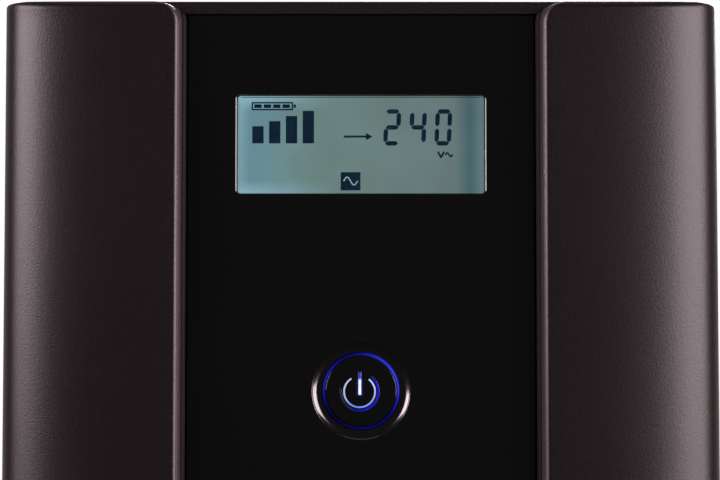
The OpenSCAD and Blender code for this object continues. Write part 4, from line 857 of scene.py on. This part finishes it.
def lens_boss():
    """The lens: a rounded plate with a chamfer round its front, a little in front of the glass."""
    clear, chamfer, corner = 0.06, 0.36, 0.75
    back = glass_front - 0.12
    front = PANEL_Y + 1.5
    face = round_loop(WIN_X - clear - chamfer, WIN_H - 0.3, 0.6)
    edge = round_loop(WIN_X - clear, WIN_H - clear, corner)
    loops = [lift(loop, y, 0, WIN_Z) for loop, y in ((face, front), (edge, front + chamfer), (edge, back))]
    mid = (0, (front + back) / 2, WIN_Z)
    patches = [patch([a, b], wrap=(False, True), away=mid) for a, b in zip(loops, loops[1:])]
    for loop, way in ((loops[0], -1), (loops[-1], 1)):
        centre = np.broadcast_to(loop.mean(0), loop.shape)
        patches.append(patch([loop, centre], wrap=(False, True), out=(0, way, 0)))
    return piece("lens_boss", patches, LENS, stands_for=("lcd_lens",))


lens_boss()

INK_T = 0.06
INK_LAYER = (glass_front - INK_T, glass_front)
LINE_LAYER = (glass_front - 1.5 * INK_T, glass_front - INK_T)


def slab(outline, layer=INK_LAYER):
    """A flat inked shape: a convex outline of (x, z) in mm from the display's middle, in a layer's depth."""
    outline = np.asarray(outline, float)
    front, back = (lift(outline, y, 0, WIN_Z) for y in layer)
    centre = np.broadcast_to(front.mean(0), front.shape)
    mid = (front.mean(0) + back.mean(0)) / 2
    return [patch([front, back], wrap=(False, True), away=mid), patch([front, centre], wrap=(False, True))]


def rect(x0, z0, x1, z1):
    """A filled rectangle between two corners."""
    return slab([(x0, z0), (x1, z0), (x1, z1), (x0, z1)])


def stroke(points, width, layer=INK_LAYER):
    """A line of a given width through points, as one short slab per step."""
    out = []
    points = np.asarray(points, float)
    for a, b in zip(points, points[1:]):
        d = (b - a) / np.linalg.norm(b - a)
        n = np.array([-d[1], d[0]]) * width / 2
        e = d * width * 0.2
        out += slab([a - n - e, b - n + e, b + n + e, a + n - e], layer)
    return out


def sine(x, z, length, height, n):
    """One sine wave that starts at (x, z), as n points."""
    turn = np.linspace(0, 2 * np.pi, n)
    return np.stack([x + turn / 6.28 * length, z + height * np.sin(turn)], -1)


def seven_segments(figure, x, z, w, h, t, slant):
    """A seven-segment figure with its lower left corner at (x, z): six-sided bars, leaning by slant."""
    on = {"0": "abcdef", "2": "abged", "4": "fgbc"}[figure]
    gap = 0.2
    mid = h / 2
    bars = {
        "a": (0, h, w, h), "g": (0, mid, w, mid), "d": (0, 0, w, 0),
        "f": (0, mid, 0, h), "b": (w, mid, w, h), "e": (0, 0, 0, mid), "c": (w, 0, w, mid),
    }
    out = []
    for key in on:
        x0, z0, x1, z1 = bars[key]
        inset = t / 2
        if z0 == z1:
            zc = min(max(z0, inset), h - inset)
            a, b = x0 + gap + inset * 0.4, x1 - gap - inset * 0.4
            shape = [(a, zc), (a + inset, zc - inset), (b - inset, zc - inset),
                     (b, zc), (b - inset, zc + inset), (a + inset, zc + inset)]
        else:
            xc = min(max(x0, inset), w - inset)
            a, b = max(z0, inset) + gap, min(z1, h - inset) - gap
            shape = [(xc, a), (xc + inset, a + inset), (xc + inset, b - inset),
                     (xc, b), (xc - inset, b - inset), (xc - inset, a + inset)]
        out += slab([(x + px + slant * pz, z + pz) for px, pz in shape])
    return out


def display_marks():
    """Everything the display shows dark: charge bars that grow, three figures, a battery outline with its
    cells, an arrow and a volt sign with a wave."""
    marks = []
    left, foot = -22.0, 0.47
    bar_w, bar_pitch, bar_h, bar_step = 2.3, 3.4, 3.48, 1.05
    for k in range(4):
        x = left + bar_pitch * k
        marks += rect(x, foot, x + bar_w, foot + bar_h + bar_step * k)
    for figure, x in (("2", 4.45), ("4", 9.65), ("0", 14.8)):
        marks += seven_segments(figure, x, 0.02, 3.4, 7.4, 0.9, 0.045)
    right, low, high = -13.9, 7.35, 8.75
    marks += stroke([(left, low), (right, low), (right, high), (left, high), (left, low)], 0.3)
    marks += rect(right + 0.25, low + 0.35, right + 0.7, high - 0.35)
    cell_w, cell_pitch, inside = 1.5, 1.9, 0.33
    for k in range(4):
        x = left + 0.4 + cell_pitch * k
        marks += rect(x, low + inside, x + cell_w, high - inside)
    tip, arrow_z, barb = 2.3, 1.85, 0.75
    marks += stroke([(-3.4, arrow_z), (1.0, arrow_z)], 0.42)
    marks += slab([(1.0, arrow_z - barb), (tip, arrow_z), (1.0, arrow_z + barb)])
    marks += stroke([(15.6, -1.3), (16.2, -2.4), (16.8, -1.3)], 0.38)
    marks += stroke(sine(17.1, -1.85, 1.4, 0.36, 13), 0.34)
    return piece("display_marks", marks, INK, smooth=False)


def wave_square():
    """The dark square at the display's foot, and the wave left clear in it."""
    piece("display_square", rect(-4.1, -9.1, -0.1, -5.4), INK, smooth=False)
    wave = stroke(sine(-3.5, -7.2, 2.8, 0.8, 25), 0.2, LINE_LAYER)
    piece("display_wave", wave, pale_ink(), smooth=False)


display_marks()
wave_square()


# Power button: cap, lit ring and lit symbol

def button_cap():
    """The cap: a flat face with a rounded edge, turned about the button's axis."""
    back = cap_high[1]
    edge_r = 0.06
    edge = arc(CAP_R - edge_r, CAP_Y + edge_r, edge_r, 270, 360, 8)
    shape = np.concatenate([[(0.0, CAP_Y), (2.0, CAP_Y), (5.0, CAP_Y)], edge, [(CAP_R, back), (0.0, back)]])
    skin = patch(turned(shape, 0, BUTTON_Z, 160), wrap=(True, False), away=(0, back, BUTTON_Z))
    return piece("button_cap", [skin], GLOSS, "button", ("power_button",))


button_cap()


def light_ring():
    """The ring round the cap: a half-round rib turned about the axis, on a disc behind the cap."""
    inner, outer = CAP_R + 0.05, CAP_R + 0.7
    front = CAP_Y + 0.35
    mid_r, half = (inner + outer) / 2, (outer - inner) / 2
    rib = arc(mid_r, front + half, half, 180, 360, 17)
    disc_r, disc_front, disc_back = SLEEVE_R + 1.0, PANEL_BACK + 2, guide_back - 0.5
    disc = [(outer, disc_front), (disc_r, disc_front), (disc_r, disc_back), (0.0, disc_back)]
    shape = np.concatenate([[(inner, disc_front)], rib, disc])
    skin = patch(turned(shape, 0, BUTTON_Z, 160), wrap=(True, False), away=(0, 0, BUTTON_Z))
    obj = piece("button_ring", [skin], by_slot["light_guide"], "button",
                ("button_light_guide",))
    obj.data.set_sharp_from_angle(angle=math.radians(40))
    return obj


light_ring()


def rib_along(path, width, height, front):
    """A low rounded rib: a half-ellipse outline carried along a path of (x, z) points on the cap."""
    path = np.asarray(path, float)
    tangent = np.gradient(path, axis=0)
    tangent /= np.linalg.norm(tangent, axis=1)[:, None]
    side = np.stack([-tangent[:, 1], tangent[:, 0]], -1)
    a = np.radians(np.linspace(0, 180, 9))
    x = path[:, None, 0] + np.cos(a)[None] * side[:, None, 0] * width / 2
    z = path[:, None, 1] + np.cos(a)[None] * side[:, None, 1] * width / 2
    y = np.broadcast_to(front - np.sin(a) * height, x.shape)
    return patch(np.stack([x, y, z + BUTTON_Z], -1))


def symbol():
    """The power symbol: an open ring and a bar of light, a halo round the bar and a glow beside the ring."""
    cx, cz = -0.29, -0.14
    ring = arc(cx, cz, 3.10, 122, 360 + 53, 96)
    stem = np.stack([np.full(24, STEM_X), np.linspace(3.8, -0.75, 24)], -1)
    halo = np.stack([np.full(12, STEM_X), np.linspace(2.4, -1.0, 12)], -1)
    glow = arc(cx, cz, 3.78, 52, -190, 96)
    lines = [rib_along(ring, 0.32, 0.04, CAP_Y), rib_along(stem, 0.56, 0.04, CAP_Y)]
    piece("symbol_light", lines, lit_symbol(), "button")
    piece("symbol_halo", [rib_along(halo, 1.56, 0.01, CAP_Y)], lit_halo(), "button")
    piece("symbol_glow", [rib_along(glow, 0.46, 0.02, CAP_Y)], lit_groove(), "button")


symbol()


# Screw heads

def screw_head(centre, axis, r, height):
    """A low domed head with a cross recess: a dome over a polar grid, less a pit where the cross lies."""
    axis = np.asarray(axis, float)
    u = np.cross(axis, (0, 0, 1) if abs(axis[2]) < 0.9 else (1, 0, 0))
    u /= np.linalg.norm(u)
    v = np.cross(axis, u)
    a = np.linspace(0, 2 * np.pi, 48, endpoint=False)
    rho = np.concatenate([np.linspace(0.0, 0.94, 22), [1.0, 1.0, 0.0]]) * r
    uu, vv = np.outer(np.cos(a), rho), np.outer(np.sin(a), rho)
    top = height * (1 - 0.35 * (rho / r) ** 3)
    top[-3:] = height * 0.55, 0.0, 0.0
    rise = np.broadcast_to(top, uu.shape).copy()
    arm_w, arm_l, pit = 0.11 * r + 0.05, 0.62 * r, 0.6 * height
    arm = (np.minimum(np.abs(uu), np.abs(vv)) < arm_w) & (np.hypot(uu, vv) < arm_l)
    arm[:, -1] = False
    rise[arm] -= pit
    points = np.asarray(centre) + uu[..., None] * u + vv[..., None] * v + rise[..., None] * axis
    return patch(points, wrap=(True, False), away=np.asarray(centre) + 0.3 * height * axis)


def loose_solids(node):
    """The points of each loose solid of a CAD node, in mm: points at one place count as one, and the lowest
    label spreads along the edges until nothing changes."""
    mesh = nodes[node].data
    co = np.empty(len(mesh.vertices) * 3, np.float32)
    mesh.vertices.foreach_get("co", co)
    co = co.reshape(-1, 3).astype(float) / MM
    ends = np.empty(len(mesh.edges) * 2, np.int32)
    mesh.edges.foreach_get("vertices", ends)
    place = np.unique(np.round(co, 3), axis=0, return_inverse=True)[1].ravel()
    a, b = place[ends.reshape(-1, 2)].T
    label, before = np.arange(place.max() + 1), None
    while before is None or (label != before).any():
        before = label.copy()
        np.minimum.at(label, a, before[b])
        np.minimum.at(label, b, before[a])
    return [co[label[place] == k] for k in np.unique(label)]


def solid_heads(node, axis_of, name, r, height):
    """Black heads for every loose solid of a screw node, at the solid's outer end."""
    heads = []
    for points in loose_solids(node):
        low, high = points.min(0), points.max(0)
        seat = (low + high) / 2
        axis = np.array(axis_of(seat), float)
        k = int(np.argmax(np.abs(axis)))
        seat[k] = (high[k] - height) if axis[k] > 0 else (low[k] + height)
        heads.append(screw_head(seat, axis, r, height))
    return piece(name, heads, OXIDE, stands_for=(node,))


def to_rear(mid):
    """The way a fan screw's head faces."""
    return (0, 1, 0)


def side_or_rear(mid):
    """The way a case screw's head faces: sideways in the outer few millimetres, or else to the rear."""
    if abs(mid[0]) > SIDE_X - 4.5:
        return (math.copysign(1, mid[0]), 0, 0)
    return to_rear(mid)


def thumb_heads():
    """Knurled thumb screws: a head turned about Y whose rim ripples with the angle, r (1 - 0.05 |cos 15a|),
    with a slot across its face."""
    tall, knurl, knurls, slot_half, slot_deep, face_n = 5.0, 0.05, 15, 0.55, 0.8, 28
    low, high = mm_box("slot_screws")
    r = (high[0] - low[0]) / 2
    a = np.linspace(0, 2 * np.pi, 180, endpoint=False)
    rho = np.concatenate([np.linspace(0.0, 0.84, face_n), [0.93, 1.0, 1.0, 0.93, 0.9, 0.0]]) * r
    drop = np.concatenate([np.zeros(face_n), [0.12, 0.5, tall - 0.5, tall - 0.1, tall, tall]])
    ripple = np.where(rho > 0.9 * r, 1 - knurl * np.abs(np.cos(knurls * a))[:, None], 1.0)
    uu, vv = ripple * np.outer(np.cos(a), rho), ripple * np.outer(np.sin(a), rho)
    deep = np.broadcast_to(drop, uu.shape).copy()
    deep[:, :face_n][np.abs(vv[:, :face_n]) < slot_half] += slot_deep
    heads = []
    for z in (low[2] + r, high[2] - r):
        points = np.stack([(low[0] + high[0]) / 2 + uu, high[1] - deep, z + vv], -1)
        heads.append(patch(points, wrap=(True, False), away=(low[0] + r, high[1] - tall / 2, z)))
    obj = piece("thumb_screw_heads", heads, ZINC, stands_for=("slot_screws",))
    obj.data.set_sharp_from_angle(angle=math.radians(40))


thumb_heads()
solid_heads("case_screws", side_or_rear, "case_screw_heads", 3.0, 1.4)
solid_heads("fan_screws", to_rear, "fan_screw_heads", 3.4, 2.0)


# Stage: floor, studio light and camera

def studio_floor():
    """A pale plain floor that keeps the object's soft shadow and runs out to the white backdrop in 1.5 m."""
    mat, tree, place = start("studio_floor")
    looks = grained(tree, place, "e9e9e8", "eeeeed", 0.9, 40.0, 0.05, 400.0, spec=0.1)
    shaded = add(tree, "BsdfPrincipled", looks, "BSDF")
    away = add(tree, "VectorMath", {0: place}, "Value", operation="LENGTH")
    share = add(tree, "MapRange", {"Value": away, "From Min": 0.3, "From Max": 1.5, "To Min": 0.6}, "Result")
    camera = add(tree, "LightPath", out="Is Camera Ray")
    seen = add(tree, "Math", {0: camera, 1: share}, 0, operation="MULTIPLY")
    pale = add(tree, "Emission", {"Color": rgb("ffffff"), "Strength": 1.0}, 0)
    mix = add(tree, "MixShader", {0: seen, 1: shaded, 2: pale}, 0)
    add(tree, "OutputMaterial", {"Surface": mix})
    size = 6000.0
    corners = [[(-size, -size, 0), (size, -size, 0)], [(-size, size, 0), (size, size, 0)]]
    flat, faces = patch(corners, out=(0, 0, 1))
    mesh = bpy.data.meshes.new("studio_floor")
    mesh.from_pydata((flat * MM).tolist(), [], faces.tolist())
    obj = bpy.data.objects.new("studio_floor", mesh)
    bpy.context.scene.collection.objects.link(obj)
    mesh.materials.append(mat)
    obj.visible_glossy = False
    obj.visible_diffuse = False


studio_floor()


def softbox(name, place, aim, width, height, power, tint="ffffff"):
    """A rectangular softbox at a place, facing a point, all in mm."""
    data = bpy.data.lights.new(name, "AREA")
    data.shape = "RECTANGLE"
    data.size, data.size_y = width * MM, height * MM
    data.energy = power
    data.color = rgb(tint)[:3]
    obj = bpy.data.objects.new(name, data)
    bpy.context.scene.collection.objects.link(obj)
    way = np.array(aim, float) - np.array(place, float)
    yaw = math.atan2(way[1], way[0]) - math.pi / 2
    pitch = math.atan2(way[2], math.hypot(way[0], way[1]))
    obj.rotation_euler = (math.pi / 2 + pitch, 0, yaw)
    obj.location = [p * MM for p in place]
    return obj


softbox("softbox_right", (788, -727, 355), (0, -200, 180), 780, 570, 19.7, "ffe9ef")
softbox("softbox_left", (-805, -610, 432), (0, -200, 180), 640, 425, 14.3, "ffe9ef")
softbox("softbox_top", (0, -150, 1400), (0, -149, 100), 900, 600, 0.9, "ffe4e2")
softbox("softbox_rear", (500, 1300, 800), (0, 150, 110), 900, 700, 25)


def studio_world():
    """White backdrop behind the object, warm in mirrored and clear faces; a dim even studio for all else."""
    world = bpy.data.worlds.new("studio")
    bpy.context.scene.world = world
    world.use_nodes = True
    tree = world.node_tree
    tree.nodes.clear()
    path = add(tree, "LightPath").outputs
    way = add(tree, "SeparateXYZ", {0: add(tree, "TexCoord", out="Generated")}, "Y")
    behind = add(tree, "MapRange", {"Value": way, "From Min": 0.15, "From Max": 0.6, "To Max": 0.5}, "Result",
                 interpolation_type="SMOOTHSTEP")
    glossy, clear = path["Is Glossy Ray"], path["Is Transmission Ray"]
    mirrored = add(tree, "Math", {0: glossy, 1: clear}, 0, operation="MAXIMUM")
    shown = add(tree, "Math", {0: mirrored, 1: behind}, 0, operation="MULTIPLY")
    dim = add(tree, "Background", {"Color": rgb("ffffff"), "Strength": 0.035}, 0)
    warm = add(tree, "Background", {"Color": rgb("ffe6e2"), "Strength": 1.0}, 0)
    white = add(tree, "Background", {"Color": rgb("ffffff"), "Strength": 1.0}, 0)
    unseen = add(tree, "MixShader", {0: shown, 1: dim, 2: warm}, 0)
    mix = add(tree, "MixShader", {0: path["Is Camera Ray"], 1: unseen, 2: white}, 0)
    add(tree, "OutputWorld", {"Surface": mix})


studio_world()


def photo_camera():
    """A long lens a little below the display, tilted up."""
    data = bpy.data.cameras.new("camera")
    data.sensor_width = 36.0
    data.lens = 172.8
    obj = bpy.data.objects.new("camera", data)
    bpy.context.scene.collection.objects.link(obj)
    obj.location = (-0.0002, -0.8855, 0.1056)
    obj.rotation_euler = (math.radians(90 + 5.45), 0, 0)
    data.clip_start, data.clip_end = 0.05, 50.0
    bpy.context.scene.camera = obj


photo_camera()
bpy.context.scene.view_settings.view_transform = "Standard"
